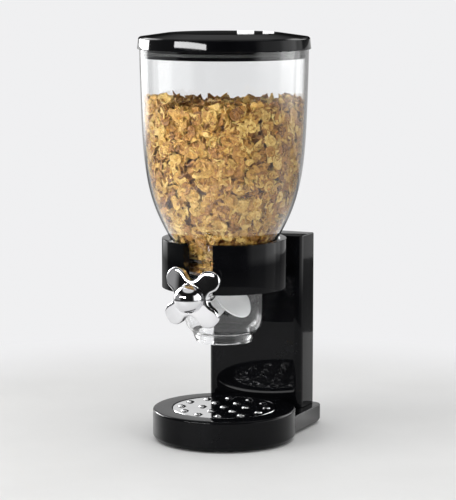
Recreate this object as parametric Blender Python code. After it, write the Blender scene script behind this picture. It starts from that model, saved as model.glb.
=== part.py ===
"""Countertop cereal dispenser: clear canister, metering paddle wheel and black stand.

Metres, +Z up, the front (knob side) faces -Y. The canister's axis is vertical and
stands AXIS_Y behind the middle of the whole product's depth.
"""

import math

import bmesh
import bpy
from mathutils import Matrix

# Fits and clearances
FIT = 0.0003
RUNNING_FIT = 0.0005
WHEEL_CLEARANCE = 0.0006
OVERLAP = 0.0010
CUT_REACH = 0.0100

# Height of the metering shaft's axis, from which the hopper, the lid and the collar are placed
SHAFT_Z = 0.1494

# Base
BASE_BOTTOM_Z = 0.0016
BASE_TUCK = 0.0022
BASE_TUCK_RISE = 0.0034
BASE_WALL = 0.0034
DISC_CLEARANCE = 0.0006
DISC_HEIGHT = 0.0289
DISC_EDGE = 0.0024
DISC_ROOF = 0.0027
BLOCK_SIDE_MARGIN = 0.0098
BLOCK_REAR_MARGIN = 0.0033
BLOCK_HEIGHT = 0.0177
BLOCK_CORNER = 0.0120
BLOCK_EDGE = 0.0010
BLOCK_ROOF = 0.0030
BASE_PLATE_RECESS = 0.0004
BASE_PLATE_THICKNESS = 0.0030

# Feet, the front ones as shares of the disc's radius, the rear ones in from the block's sides
FOOT_RADIUS = 0.0065
FOOT_POCKET_DEPTH = 0.0010
FOOT_EDGE = 0.0006
FRONT_FOOT_SHARES = (0.402, -0.689)
REAR_FOOT_SIDE_INSET = 0.0144
REAR_FOOT_BACK_INSET = 0.0155

# Crumb tray
TRAY_RADIUS = 0.0503
TRAY_GROOVE = 0.0007
TRAY_WELL_DEPTH = 0.0045
TRAY_TOP_DROP = 0.0003
TRAY_SKIN = 0.0014
TRAY_RIM_WIDTH = 0.0016
TRAY_EDGE = 0.0006
BUMP_RADIUS = 0.0046
BUMP_HEIGHT = 0.0011
BUMP_RING_SHARES = (0.4235, 0.8250)
BUMP_RING_PHASE_DEG = 18.0
BUMPS_PER_RING_STEP = 6

# Column
COLUMN_HALF_WIDTH = 0.0506
COLUMN_DEPTH = 0.0359
COLUMN_RISE = 0.0436
COLUMN_FRONT_CORNER = 0.0078
COLUMN_REAR_CORNER = 0.0030
COLUMN_EDGE = 0.0010
COLUMN_WALL = 0.0030
COVER_THICKNESS = 0.0026
COVER_LEDGE = 0.0016

# Collar
COLLAR_BOTTOM_RISE = 0.0010
COLLAR_HEIGHT = 0.0472
COLLAR_CLEARANCE = 0.0066
COLLAR_THICKNESS = 0.0120
COLLAR_EDGE = 0.0008
COLLAR_WALL = 0.0027
COLLAR_ROOF = 0.0126
NOTCH_CLEARANCE = 0.0061
NECK_HALF_WIDTH = 0.0300
NECK_LENGTH = 0.0101

# Canister, its heights above the shaft's axis
CANISTER_WALL = 0.0024
CANISTER_TOP_RADIUS = 0.0810
CANISTER_TOP_RISE = 0.2176
CANISTER_RIM_FLARE = 0.0003
CANISTER_RIM_HEIGHT = 0.0180
CANISTER_UPPER_TAPER = 0.0028
CANISTER_UPPER_RISE = 0.1196
CANISTER_LOWER_TAPER = 0.0023
FUNNEL_ANGLE_DEG = 30.81
FUNNEL_RADIUS = 0.0496
FUNNEL_RISE = 0.0441
SPIGOT_RADIUS = 0.0390
SPIGOT_BOTTOM_RISE = 0.0231
SHOULDER_WIDTH = 0.0029
LUG_WIDTH = 0.0080
LUG_PROTRUSION = 0.0022
LUG_BOTTOM_RISE = 0.0258
LUG_COUNT = 3
LUG_PHASE_DEG = 30.0

# Spout cup, its drops below the shaft's axis
CUP_WALL = 0.0020
CUP_SOCKET_WALL = 0.0023
CUP_SOCKET_RISE = 0.0191
CUP_SOCKET_TAPER = 0.0035
CUP_SHOULDER_DROP = 0.0134
CUP_BULGE_DROP = 0.0447
CUP_BULGE_FLARE = 0.0071
CUP_BULGE_TANGENT_DROP = 0.0364
CUP_MOUTH_RADIUS = 0.0274
CUP_MOUTH_DROP = 0.0526
CUP_MOUTH_FLARE = 0.0030
CUP_NECK_FLARE = 0.0015
CUP_NECK_DROP = 0.0489
CUP_LIP_FLARE = 0.0005
CUP_LIP_DROP = 0.0512
CUP_LEDGE_DROP = 0.0415
CUP_LEDGE_DIP = 0.0012
BOSS_RADIUS = 0.0090
BOSS_LENGTH = 0.0189
REAR_BOSS_RADIUS = 0.0080
REAR_BOSS_CAP = 0.0018

# Lid, from the canister's rim
LID_RISE = 0.0100
LID_SLOPE_WIDTH = 0.0260
LID_SHOULDER_DROP = 0.0036
LID_SHOULDER_WIDTH = 0.0014
LID_EDGE_DROP = 0.0050
LID_SKIRT_TAPER = 0.0011
LID_SKIRT_THICKNESS = 0.0017
LID_SKIRT_DEPTH = 0.0054
LID_TOP_THICKNESS = 0.0028
PLUG_GAP = 0.0009
PLUG_WALL = 0.0022
PLUG_DEPTH = 0.0137
PLUG_PLATE_THICKNESS = 0.0029
SEAL_DEPTH = 0.0090
SEAL_HEIGHT = 0.0032
SEAL_GROOVE_DEPTH = 0.0010

# Metering wheel and shaft
SHAFT_RADIUS = 0.0041
SHAFT_REAR_LENGTH = 0.0029
SHAFT_TIP_INSET = 0.0007
WHEEL_HALF_LENGTH = 0.0300
WHEEL_CORE_WALL = 0.0020
WHEEL_SLEEVE_WALL = 0.0026
BLADE_THICKNESS = 0.0017
BLADE_COUNT = 6
BLADE_PHASE_DEG = -50.0
HEX_SIDES = 6
BUSH_WALL = 0.0013
BUSH_FLANGE_WIDTH = 0.0019
BUSH_FLANGE_THICKNESS = 0.0012

# Knob, its face crowned behind the dome's round seat
KNOB_STANDOFF = 0.0090
KNOB_THICKNESS = 0.0109
KNOB_CROWN_RADIUS = 0.1050
KNOB_FACE_SHARES = (0.88, 0.60, 0.32)
KNOB_EDGE = 0.0014
KNOB_LOBE_CENTRE = 0.0240
KNOB_LOBE_RADIUS = 0.0105
KNOB_VALLEY_RADIUS = 0.0170
KNOB_LOBES = 4
KNOB_PHASE_DEG = 47.6
KNOB_SLEEVE_WALL = 0.0041
DOME_RADIUS = 0.0138
DOME_CENTRE_DEPTH = 0.0021
DOME_SEAT_MARGIN = 0.0004

# Screws
SCREW_SHANK_RADIUS = 0.0013
SCREW_HEAD_RADIUS = 0.0030
SCREW_HEAD_THICKNESS = 0.0011
SCREW_LENGTH = 0.0095
SCREW_POCKET_DEPTH = 0.0016
POST_WALL = 0.0026
DISC_SCREW_SHARES = (0.717, -0.287)
BLOCK_SCREW_X = 0.0120
BLOCK_SCREW_BACK_INSET = 0.0135
COLUMN_SCREW_SIDE_INSET = 0.0166
COLUMN_SCREW_FRONT_INSET = 0.0097
COLUMN_SCREW_BACK_INSET = 0.0092
COLLAR_SCREW_SIDE_INSET = 0.0100
COLLAR_SCREW_LOW_INSET = 0.0116
COLLAR_SCREW_HIGH_INSET = 0.0070
COVER_SCREW_SIDE_INSET = 0.0126
COVER_SCREW_END_INSET = 0.0187

# Facets
ROUND_STEPS = 44
MEDIUM_STEPS = 28
SMALL_STEPS = 16
TINY_STEPS = 8
SCREW_STEPS = 8
BUMP_STEPS = 8
CUP_STEPS = 36
CORNER_STEPS = 4
LOBE_STEPS = 6
DOME_STEPS = 6
CANISTER_CURVE_STEPS = 8
CUP_CURVE_STEPS = 4
SMOOTH_ANGLE = math.radians(32.0)
FIRST_STEP_SHARE = 0.3333

# Pieces with many small cuts, which need the solver that always leaves closed bodies
MANY_CUTS = ("base_shell", "canister", "column_shell", "crumb_tray", "drive_shaft", "spout_cup")

# Radii of the canister's foot, the cup and the wheel, each from the one around it
SHOULDER_RADIUS = SPIGOT_RADIUS + SHOULDER_WIDTH
SPIGOT_INNER_RADIUS = SPIGOT_RADIUS - CANISTER_WALL
SOCKET_RADIUS = SPIGOT_RADIUS + FIT
CUP_SOCKET_RADIUS = SOCKET_RADIUS + CUP_SOCKET_WALL
CUP_INNER_RADIUS = SPIGOT_INNER_RADIUS
CUP_RADIUS = CUP_INNER_RADIUS + CUP_WALL
WHEEL_RADIUS = CUP_INNER_RADIUS - WHEEL_CLEARANCE
WHEEL_CORE_RADIUS = SHAFT_RADIUS + WHEEL_CORE_WALL
WHEEL_SLEEVE_RADIUS = WHEEL_CORE_RADIUS + FIT + WHEEL_SLEEVE_WALL
BUSH_RADIUS = SHAFT_RADIUS + FIT + BUSH_WALL
BUSH_FLANGE_RADIUS = BUSH_RADIUS + BUSH_FLANGE_WIDTH
KNOB_SLEEVE_RADIUS = SHAFT_RADIUS + FIT + KNOB_SLEEVE_WALL
POST_BORE = SCREW_SHANK_RADIUS + FIT
POST_RADIUS = POST_BORE + POST_WALL

# Canister and lid
CANISTER_RIM_RADIUS = CANISTER_TOP_RADIUS + CANISTER_RIM_FLARE
CANISTER_RIM_RISE = CANISTER_TOP_RISE + CANISTER_RIM_HEIGHT
FUNNEL_SLOPE = math.tan(math.radians(FUNNEL_ANGLE_DEG))
LID_RIM_RADIUS = CANISTER_RIM_RADIUS + FIT + LID_SKIRT_THICKNESS
LID_EDGE_RADIUS = LID_RIM_RADIUS - LID_SKIRT_TAPER
LID_SHOULDER_RADIUS = LID_EDGE_RADIUS - LID_SHOULDER_WIDTH
LID_FLAT_RADIUS = LID_SHOULDER_RADIUS - LID_SLOPE_WIDTH
LID_TOP_RISE = CANISTER_RIM_RISE + LID_RISE
LID_RIM_RISE = CANISTER_RIM_RISE - LID_SKIRT_DEPTH
PLUG_RADIUS = CANISTER_RIM_RADIUS - CANISTER_WALL - PLUG_GAP
PLUG_PLATE_BOTTOM_RISE = CANISTER_RIM_RISE + FIT
PLUG_PLATE_TOP_RISE = PLUG_PLATE_BOTTOM_RISE + PLUG_PLATE_THICKNESS
SEAL_RISE = CANISTER_RIM_RISE - SEAL_DEPTH

# Places along the shaft, front to rear
BOSS_FRONT_Y = -(CUP_RADIUS + BOSS_LENGTH)
KNOB_BACK_Y = BOSS_FRONT_Y - KNOB_STANDOFF
KNOB_FRONT_Y = KNOB_BACK_Y - KNOB_THICKNESS
SHAFT_FRONT_Y = KNOB_FRONT_Y + SHAFT_TIP_INSET
DOME_CENTRE_Y = KNOB_FRONT_Y - DOME_CENTRE_DEPTH
SHAFT_REAR_Y = CUP_RADIUS + SHAFT_REAR_LENGTH
REAR_BEARING_Y = SHAFT_REAR_Y + RUNNING_FIT
REAR_BOSS_REAR_Y = REAR_BEARING_Y + REAR_BOSS_CAP

# Collar, column and base, outwards from the cup
COLLAR_BORE = CUP_SOCKET_RADIUS + COLLAR_CLEARANCE
COLLAR_RADIUS = COLLAR_BORE + COLLAR_THICKNESS
COLLAR_TOP_RISE = COLLAR_BOTTOM_RISE + COLLAR_HEIGHT
NOTCH_HALF_WIDTH = BOSS_RADIUS + NOTCH_CLEARANCE
COLUMN_FRONT_Y = COLLAR_RADIUS + NECK_LENGTH
COLUMN_REAR_Y = COLUMN_FRONT_Y + COLUMN_DEPTH
DISC_RADIUS = COLUMN_FRONT_Y - DISC_CLEARANCE
BLOCK_HALF_WIDTH = COLUMN_HALF_WIDTH + BLOCK_SIDE_MARGIN
BLOCK_REAR_Y = COLUMN_REAR_Y + BLOCK_REAR_MARGIN
AXIS_Y = -(BLOCK_REAR_Y + DOME_CENTRE_Y - DOME_RADIUS) / 2.0
DISC_TOP_Z = BASE_BOTTOM_Z + DISC_HEIGHT
BLOCK_TOP_Z = BASE_BOTTOM_Z + BLOCK_HEIGHT
COLUMN_BOTTOM_Z = BLOCK_TOP_Z + FIT
COLUMN_TOP_Z = SHAFT_Z + COLUMN_RISE
PLATE_BOTTOM_Z = BASE_BOTTOM_Z + BASE_PLATE_RECESS
PLATE_TOP_Z = PLATE_BOTTOM_Z + BASE_PLATE_THICKNESS
TRAY_TOP_Z = DISC_TOP_Z - TRAY_TOP_DROP
WELL_FLOOR_Z = DISC_TOP_Z - TRAY_WELL_DEPTH
DISC_ROOF_Z = WELL_FLOOR_Z - DISC_ROOF
BLOCK_ROOF_Z = BLOCK_TOP_Z - BLOCK_ROOF

# Screw places on the right side, each with its mirror image on the left
DISC_SCREWS = ((DISC_RADIUS * DISC_SCREW_SHARES[0], DISC_RADIUS * DISC_SCREW_SHARES[1]),)
BLOCK_SCREWS = ((BLOCK_SCREW_X, BLOCK_REAR_Y - BLOCK_SCREW_BACK_INSET),)
COLUMN_SCREWS = (
    (COLUMN_HALF_WIDTH - COLUMN_SCREW_SIDE_INSET, COLUMN_FRONT_Y + COLUMN_SCREW_FRONT_INSET),
    (COLUMN_HALF_WIDTH - COLUMN_SCREW_SIDE_INSET, COLUMN_REAR_Y - COLUMN_SCREW_BACK_INSET),
)
COLLAR_SCREWS = (
    (NECK_HALF_WIDTH - COLLAR_SCREW_SIDE_INSET, SHAFT_Z + COLLAR_BOTTOM_RISE + COLLAR_SCREW_LOW_INSET),
    (NECK_HALF_WIDTH - COLLAR_SCREW_SIDE_INSET, COLUMN_TOP_Z - COLLAR_SCREW_HIGH_INSET),
)
COVER_SCREWS = (
    (COLUMN_HALF_WIDTH - COVER_SCREW_SIDE_INSET, COLUMN_BOTTOM_Z + COVER_SCREW_END_INSET),
    (COLUMN_HALF_WIDTH - COVER_SCREW_SIDE_INSET, COLUMN_TOP_Z - COVER_SCREW_END_INSET),
)


def clear_scene():
    for item in list(bpy.data.objects):
        bpy.data.objects.remove(item, do_unlink=True)


def make_material(name, colour, roughness, metallic=0.0, transmission=0.0):
    material = bpy.data.materials.new(name)
    material.use_nodes = True
    shader = material.node_tree.nodes["Principled BSDF"]
    shader.inputs["Base Color"].default_value = (*colour, 1.0)
    shader.inputs["Roughness"].default_value = roughness
    shader.inputs["Metallic"].default_value = metallic
    shader.inputs["Transmission Weight"].default_value = transmission
    material.diffuse_color = (*colour, 1.0)
    return material


def black_plastic():
    return make_material("black_plastic", (0.012, 0.012, 0.014), 0.12)


def satin_black_plastic():
    return make_material("satin_black_plastic", (0.020, 0.020, 0.022), 0.40)


def clear_plastic():
    return make_material("clear_plastic", (0.93, 0.94, 0.94), 0.05, 0.0, 0.9)


def mirror_metal():
    return make_material("mirror_metal", (0.86, 0.86, 0.88), 0.06, 1.0)


def screw_steel():
    return make_material("screw_steel", (0.55, 0.55, 0.56), 0.30, 1.0)


def white_silicone():
    return make_material("white_silicone", (0.86, 0.86, 0.84), 0.45)


def white_plastic():
    return make_material("white_plastic", (0.80, 0.80, 0.79), 0.35)


def black_rubber():
    return make_material("black_rubber", (0.018, 0.018, 0.018), 0.85)


# Turned shapes: closed profiles of (radius, height), spun about +Z and then placed
def add_turned(mesh, profile, steps, placement=None):
    rings = []
    for radius, height in profile:
        if radius == 0:
            rings.append([mesh.verts.new((0, 0, height))])
            continue
        turn = [2.0 * math.pi * step / steps for step in range(steps)]
        rings.append([mesh.verts.new((radius * math.cos(a), radius * math.sin(a), height)) for a in turn])
    for index, ring in enumerate(rings):
        following = rings[(index + 1) % len(rings)]
        join_rings(mesh, ring, following, steps)
    if placement is not None:
        bmesh.ops.transform(mesh, matrix=placement, verts=[v for ring in rings for v in ring])


def join_rings(mesh, ring, following, steps):
    if len(ring) == 1 and len(following) == 1:
        return
    for step in range(steps):
        after = (step + 1) % steps
        corners = [ring[step % len(ring)], following[step % len(following)]]
        if len(following) > 1:
            corners.append(following[after])
        if len(ring) > 1:
            corners.append(ring[after])
        mesh.faces.new(corners)


# Stacked shapes: matching outlines of (x, y) at rising heights, capped at both ends
def add_stacked(mesh, levels, placement=None):
    rings = [[mesh.verts.new((x, y, height)) for x, y in outline] for height, outline in levels]
    for lower, upper in zip(rings, rings[1:]):
        join_rings(mesh, lower, upper, len(lower))
    mesh.faces.new(rings[0])
    mesh.faces.new(rings[-1])
    if placement is not None:
        bmesh.ops.transform(mesh, matrix=placement, verts=[v for ring in rings for v in ring])


def rounded_outline(half_width, front, rear, front_corner, rear_corner):
    corners = (
        (half_width - front_corner, front + front_corner, front_corner, -90.0),
        (half_width - rear_corner, rear - rear_corner, rear_corner, 0.0),
        (rear_corner - half_width, rear - rear_corner, rear_corner, 90.0),
        (front_corner - half_width, front + front_corner, front_corner, 180.0),
    )
    outline = []
    for x, y, radius, start in corners:
        outline.extend(arc(x, y, radius, start, start + 90.0, CORNER_STEPS))
    return outline


def arc(x, y, radius, start_deg, end_deg, steps):
    points = []
    for step in range(steps + 1):
        angle = math.radians(start_deg + (end_deg - start_deg) * step / steps)
        points.append((x + radius * math.cos(angle), y + radius * math.sin(angle)))
    return points


def bezier(start, start_handle, end_handle, end, steps):
    points = []
    for step in range(steps + 1):
        share = step / steps
        rest = 1.0 - share
        weights = (rest**3, 3.0 * share * rest**2, 3.0 * share**2 * rest, share**3)
        corners = (start, start_handle, end_handle, end)
        points.append(tuple(sum(w * c[axis] for w, c in zip(weights, corners)) for axis in range(2)))
    return points


def box_outline(x_low, x_high, y_low, y_high):
    return [(x_low, y_low), (x_high, y_low), (x_high, y_high), (x_low, y_high)]


# Placements: the turned or stacked axis laid along another direction
def upright(x, y):
    return Matrix.Translation((x, y, 0))


def along_y(x=0, z=0):
    return Matrix.Translation((x, 0, z)) @ Matrix.Rotation(math.radians(-90.0), 4, "X")


def mirrored(places):
    return [(side * x, other) for x, other in places for side in (-1.0, 1.0)]


class Shop:
    """Makes the objects under one parent empty."""

    def __init__(self, axis_y):
        self.stand_axis = self.empty("stand_axis", (0, axis_y, 0), None)
        self.shaft_axis = self.empty("shaft_axis", (0, 0, SHAFT_Z), self.stand_axis)

    def empty(self, name, location, parent):
        item = bpy.data.objects.new(name, None)
        item.location = location
        item.parent = parent
        bpy.context.scene.collection.objects.link(item)
        return item

    def solid(self, name, mesh, material=None, parent=None):
        bmesh.ops.recalc_face_normals(mesh, faces=mesh.faces)
        data = bpy.data.meshes.new(name)
        mesh.to_mesh(data)
        mesh.free()
        data.shade_smooth()
        data.set_sharp_from_angle(angle=SMOOTH_ANGLE)
        item = bpy.data.objects.new(name, data)
        item.parent = parent or self.stand_axis
        bpy.context.scene.collection.objects.link(item)
        if material is not None:
            data.materials.append(material)
        return item

    def copy_of(self, original, name):
        item = bpy.data.objects.new(name, original.data)
        item.parent = original.parent
        bpy.context.scene.collection.objects.link(item)
        return item

    def tool(self, name, mesh, parent=None):
        item = self.solid(name, mesh, None, parent)
        item.hide_render = True
        item.display_type = "WIRE"
        return item

    def turned(self, name, profile, steps, material=None, placement=None, parent=None):
        mesh = bmesh.new()
        add_turned(mesh, profile, steps, placement)
        return self.solid(name, mesh, material, parent)

    def stacked(self, name, levels, material=None, placement=None, parent=None):
        mesh = bmesh.new()
        add_stacked(mesh, levels, placement)
        return self.solid(name, mesh, material, parent)

    def combine(self, target, mesh, operation, parent=None):
        name = f"{target.name}_{operation.lower()}_{len(target.modifiers)}"
        tool = self.tool(name, mesh, parent or target.parent)
        modifier = target.modifiers.new(name, "BOOLEAN")
        modifier.operation = operation
        modifier.solver = "MANIFOLD" if target.name in MANY_CUTS else "EXACT"
        modifier.object = tool
        return target

    def cut(self, target, mesh):
        return self.combine(target, mesh, "DIFFERENCE")

    def join(self, target, mesh):
        return self.combine(target, mesh, "UNION")


def turned_mesh(profile, steps, placements=(None,)):
    mesh = bmesh.new()
    for placement in placements:
        add_turned(mesh, profile, steps, placement)
    return mesh


def stacked_mesh(levels, placements=(None,)):
    mesh = bmesh.new()
    for placement in placements:
        add_stacked(mesh, levels, placement)
    return mesh


def rod(radius, low, high):
    return [(0, low), (radius, low), (radius, high), (0, high)]


def screw_profile():
    neck = SCREW_HEAD_THICKNESS
    return [
        (0, 0),
        (SCREW_HEAD_RADIUS, 0),
        (SCREW_HEAD_RADIUS, neck),
        (SCREW_SHANK_RADIUS, neck),
        (SCREW_SHANK_RADIUS, SCREW_LENGTH),
        (0, SCREW_LENGTH),
    ]


def make_screws(shop, name, placements):
    first = shop.turned(f"{name}_1", screw_profile(), SCREW_STEPS, screw_steel())
    screws = [first] + [shop.copy_of(first, f"{name}_{number}") for number in range(2, len(placements) + 1)]
    for screw, placement in zip(screws, placements):
        screw.matrix_local = placement


# Base
def disc_profile():
    step = DISC_EDGE * FIRST_STEP_SHARE
    return [
        (0, BASE_BOTTOM_Z),
        (DISC_RADIUS - BASE_TUCK, BASE_BOTTOM_Z),
        (DISC_RADIUS, BASE_BOTTOM_Z + BASE_TUCK_RISE),
        (DISC_RADIUS, DISC_TOP_Z - DISC_EDGE),
        (DISC_RADIUS - step, DISC_TOP_Z - step),
        (DISC_RADIUS - DISC_EDGE, DISC_TOP_Z),
        (0, DISC_TOP_Z),
    ]


def block_outline(inset):
    return rounded_outline(
        BLOCK_HALF_WIDTH - inset,
        0,
        BLOCK_REAR_Y - inset,
        BLOCK_CORNER - inset,
        BLOCK_CORNER - inset,
    )


def block_levels():
    return [
        (BASE_BOTTOM_Z, block_outline(BASE_TUCK)),
        (BASE_BOTTOM_Z + BASE_TUCK_RISE, block_outline(0)),
        (BLOCK_TOP_Z - BLOCK_EDGE, block_outline(0)),
        (BLOCK_TOP_Z, block_outline(BLOCK_EDGE)),
    ]


def make_base_shell(shop):
    base = shop.turned("base_shell", disc_profile(), ROUND_STEPS, black_plastic())
    shop.join(base, stacked_mesh(block_levels()))
    well = rod(TRAY_RADIUS + TRAY_GROOVE, WELL_FLOOR_Z, DISC_TOP_Z + CUT_REACH)
    shop.cut(base, turned_mesh(well, ROUND_STEPS))
    disc_hollow = rod(DISC_RADIUS - BASE_WALL, -CUT_REACH, DISC_ROOF_Z)
    shop.cut(base, turned_mesh(disc_hollow, ROUND_STEPS))
    hollow = block_outline(BASE_WALL)
    shop.cut(base, stacked_mesh([(-CUT_REACH, hollow), (BLOCK_ROOF_Z, hollow)]))
    add_base_posts(shop, base)
    return base


def add_base_posts(shop, base):
    front = [upright(x, y) for x, y in mirrored(DISC_SCREWS)]
    rear = [upright(x, y) for x, y in mirrored(BLOCK_SCREWS)]
    foot = PLATE_TOP_Z + FIT
    shop.join(base, turned_mesh(rod(POST_RADIUS, foot, DISC_ROOF_Z + OVERLAP), TINY_STEPS, front))
    shop.join(base, turned_mesh(rod(POST_RADIUS, foot, BLOCK_ROOF_Z + OVERLAP), TINY_STEPS, rear))
    bore = rod(POST_BORE, -CUT_REACH, PLATE_BOTTOM_Z + SCREW_LENGTH + SCREW_POCKET_DEPTH)
    shop.cut(base, turned_mesh(bore, TINY_STEPS, front + rear))
    clearance = rod(POST_BORE, 0, BLOCK_TOP_Z + CUT_REACH)
    column_holes = [upright(x, y) for x, y in mirrored(COLUMN_SCREWS)]
    shop.cut(base, turned_mesh(clearance, TINY_STEPS, column_holes))


def make_base_plate(shop):
    inset = BASE_WALL + FIT
    round_part = rod(DISC_RADIUS - inset, PLATE_BOTTOM_Z, PLATE_TOP_Z)
    plate = shop.turned("base_plate", round_part, ROUND_STEPS, satin_black_plastic())
    outline = block_outline(inset)
    shop.join(plate, stacked_mesh([(PLATE_BOTTOM_Z, outline), (PLATE_TOP_Z, outline)]))
    pocket_top = PLATE_BOTTOM_Z + FOOT_POCKET_DEPTH
    pocket = rod(FOOT_RADIUS + FIT, 0, pocket_top)
    shop.cut(plate, turned_mesh(pocket, SMALL_STEPS, [upright(x, y) for x, y in foot_places()]))
    screws = [upright(x, y) for x, y in mirrored(DISC_SCREWS + BLOCK_SCREWS)]
    recess = rod(SCREW_HEAD_RADIUS + FIT, 0, PLATE_BOTTOM_Z + SCREW_POCKET_DEPTH)
    shop.cut(plate, turned_mesh(recess, TINY_STEPS, screws))
    shop.cut(plate, turned_mesh(rod(POST_BORE, 0, PLATE_TOP_Z + CUT_REACH), TINY_STEPS, screws))
    return plate


def foot_places():
    front = tuple(DISC_RADIUS * share for share in FRONT_FOOT_SHARES)
    rear = (BLOCK_HALF_WIDTH - REAR_FOOT_SIDE_INSET, BLOCK_REAR_Y - REAR_FOOT_BACK_INSET)
    return mirrored([front, rear])


def make_feet(shop):
    names = ("foot_front_left", "foot_front_right", "foot_rear_left", "foot_rear_right")
    top = PLATE_BOTTOM_Z + FOOT_POCKET_DEPTH - FIT
    profile = [(0, 0), (FOOT_RADIUS - FOOT_EDGE, 0), (FOOT_RADIUS, FOOT_EDGE), (FOOT_RADIUS, top), (0, top)]
    for name, (x, y) in zip(names, foot_places()):
        foot = shop.turned(name, profile, SMALL_STEPS, black_rubber())
        foot.location = (x, y, 0)


def make_base_plate_screws(shop):
    seat = PLATE_BOTTOM_Z + SCREW_POCKET_DEPTH - FIT - SCREW_HEAD_THICKNESS
    places = [Matrix.Translation((x, y, seat)) for x, y in mirrored(DISC_SCREWS + BLOCK_SCREWS)]
    make_screws(shop, "base_plate_screw", places)


# Crumb tray
def tray_profile():
    top = TRAY_TOP_Z
    bottom = WELL_FLOOR_Z + FIT
    inner = TRAY_RADIUS - TRAY_RIM_WIDTH
    return [
        (0, top - TRAY_SKIN),
        (inner, top - TRAY_SKIN),
        (inner, bottom),
        (TRAY_RADIUS, bottom),
        (TRAY_RADIUS, top - TRAY_EDGE),
        (TRAY_RADIUS - TRAY_EDGE, top),
        (0, top),
    ]


def bump_places():
    places = [(0, 0)]
    for ring, share in enumerate(BUMP_RING_SHARES, start=1):
        radius = TRAY_RADIUS * share
        count = BUMPS_PER_RING_STEP * ring
        for index in range(count):
            angle = math.radians(BUMP_RING_PHASE_DEG) + 2.0 * math.pi * index / count
            places.append((radius * math.cos(angle), radius * math.sin(angle)))
    return places


def bump_profile():
    half_chord = BUMP_RADIUS
    sphere = (half_chord**2 + BUMP_HEIGHT**2) / (2.0 * BUMP_HEIGHT)
    centre = TRAY_TOP_Z + BUMP_HEIGHT - sphere
    middle = half_chord / 2.0
    return [
        (0, TRAY_TOP_Z - TRAY_SKIN / 2.0),
        (half_chord, TRAY_TOP_Z - TRAY_SKIN / 2.0),
        (half_chord, TRAY_TOP_Z),
        (middle, centre + math.sqrt(sphere**2 - middle**2)),
        (0, TRAY_TOP_Z + BUMP_HEIGHT),
    ]


def make_crumb_tray(shop):
    tray = shop.turned("crumb_tray", tray_profile(), ROUND_STEPS, mirror_metal())
    bumps = [upright(x, y) for x, y in bump_places()]
    return shop.join(tray, turned_mesh(bump_profile(), BUMP_STEPS, bumps))


# Column
def column_outline(inset):
    return rounded_outline(
        COLUMN_HALF_WIDTH - inset,
        COLUMN_FRONT_Y + inset,
        COLUMN_REAR_Y - inset,
        COLUMN_FRONT_CORNER - inset,
        COLUMN_REAR_CORNER - inset,
    )


def make_column_shell(shop):
    levels = [
        (COLUMN_BOTTOM_Z, column_outline(0)),
        (COLUMN_TOP_Z - COLUMN_EDGE, column_outline(0)),
        (COLUMN_TOP_Z, column_outline(COLUMN_EDGE)),
    ]
    column = shop.stacked("column_shell", levels, black_plastic())
    half = COLUMN_HALF_WIDTH - COLUMN_WALL
    hollow = box_outline(-half, half, COLUMN_FRONT_Y + COLUMN_WALL, COLUMN_REAR_Y + CUT_REACH)
    low = COLUMN_BOTTOM_Z + COLUMN_WALL
    high = COLUMN_TOP_Z - COLUMN_WALL
    shop.cut(column, stacked_mesh([(low, hollow), (high, hollow)]))
    edge = half + COVER_LEDGE
    rebate = box_outline(-edge, edge, COLUMN_REAR_Y - COVER_THICKNESS - FIT, COLUMN_REAR_Y + CUT_REACH)
    shop.cut(column, stacked_mesh([(low - COVER_LEDGE, rebate), (high + COVER_LEDGE, rebate)]))
    add_column_posts(shop, column)
    return column


def add_column_posts(shop, column):
    cover_places = [along_y(x, z) for x, z in mirrored(COVER_SCREWS)]
    front = COLUMN_FRONT_Y + COLUMN_WALL - OVERLAP
    seat = COLUMN_REAR_Y - COVER_THICKNESS - FIT
    shop.join(column, turned_mesh(rod(POST_RADIUS, front, seat), TINY_STEPS, cover_places))
    bore_start = COLUMN_REAR_Y - SCREW_LENGTH - SCREW_POCKET_DEPTH
    shop.cut(column, turned_mesh(rod(POST_BORE, bore_start, seat + CUT_REACH), TINY_STEPS, cover_places))
    floor_places = [upright(x, y) for x, y in mirrored(COLUMN_SCREWS)]
    floor = COLUMN_BOTTOM_Z + COLUMN_WALL
    top = BLOCK_ROOF_Z + SCREW_LENGTH + OVERLAP
    floor_post = rod(POST_RADIUS, floor - OVERLAP, top + COLUMN_WALL)
    shop.join(column, turned_mesh(floor_post, TINY_STEPS, floor_places))
    shop.cut(column, turned_mesh(rod(POST_BORE, 0, top), TINY_STEPS, floor_places))
    wall_places = [along_y(x, z) for x, z in mirrored(COLLAR_SCREWS)]
    wall_bore = rod(POST_BORE, COLUMN_FRONT_Y - OVERLAP, COLUMN_FRONT_Y + CUT_REACH)
    shop.cut(column, turned_mesh(wall_bore, TINY_STEPS, wall_places))


def make_rear_cover(shop):
    half = COLUMN_HALF_WIDTH - COLUMN_WALL + COVER_LEDGE - FIT
    low = COLUMN_BOTTOM_Z + COLUMN_WALL - COVER_LEDGE + FIT
    high = COLUMN_TOP_Z - COLUMN_WALL + COVER_LEDGE - FIT
    outline = box_outline(-half, half, COLUMN_REAR_Y - COVER_THICKNESS, COLUMN_REAR_Y)
    cover = shop.stacked("rear_cover", [(low, outline), (high, outline)], satin_black_plastic())
    places = [along_y(x, z) for x, z in mirrored(COVER_SCREWS)]
    pocket = rod(SCREW_HEAD_RADIUS + FIT, COLUMN_REAR_Y - SCREW_POCKET_DEPTH, COLUMN_REAR_Y + CUT_REACH)
    shop.cut(cover, turned_mesh(pocket, TINY_STEPS, places))
    hole = rod(POST_BORE, COLUMN_REAR_Y - CUT_REACH, COLUMN_REAR_Y + CUT_REACH)
    shop.cut(cover, turned_mesh(hole, TINY_STEPS, places))
    return cover


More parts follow.
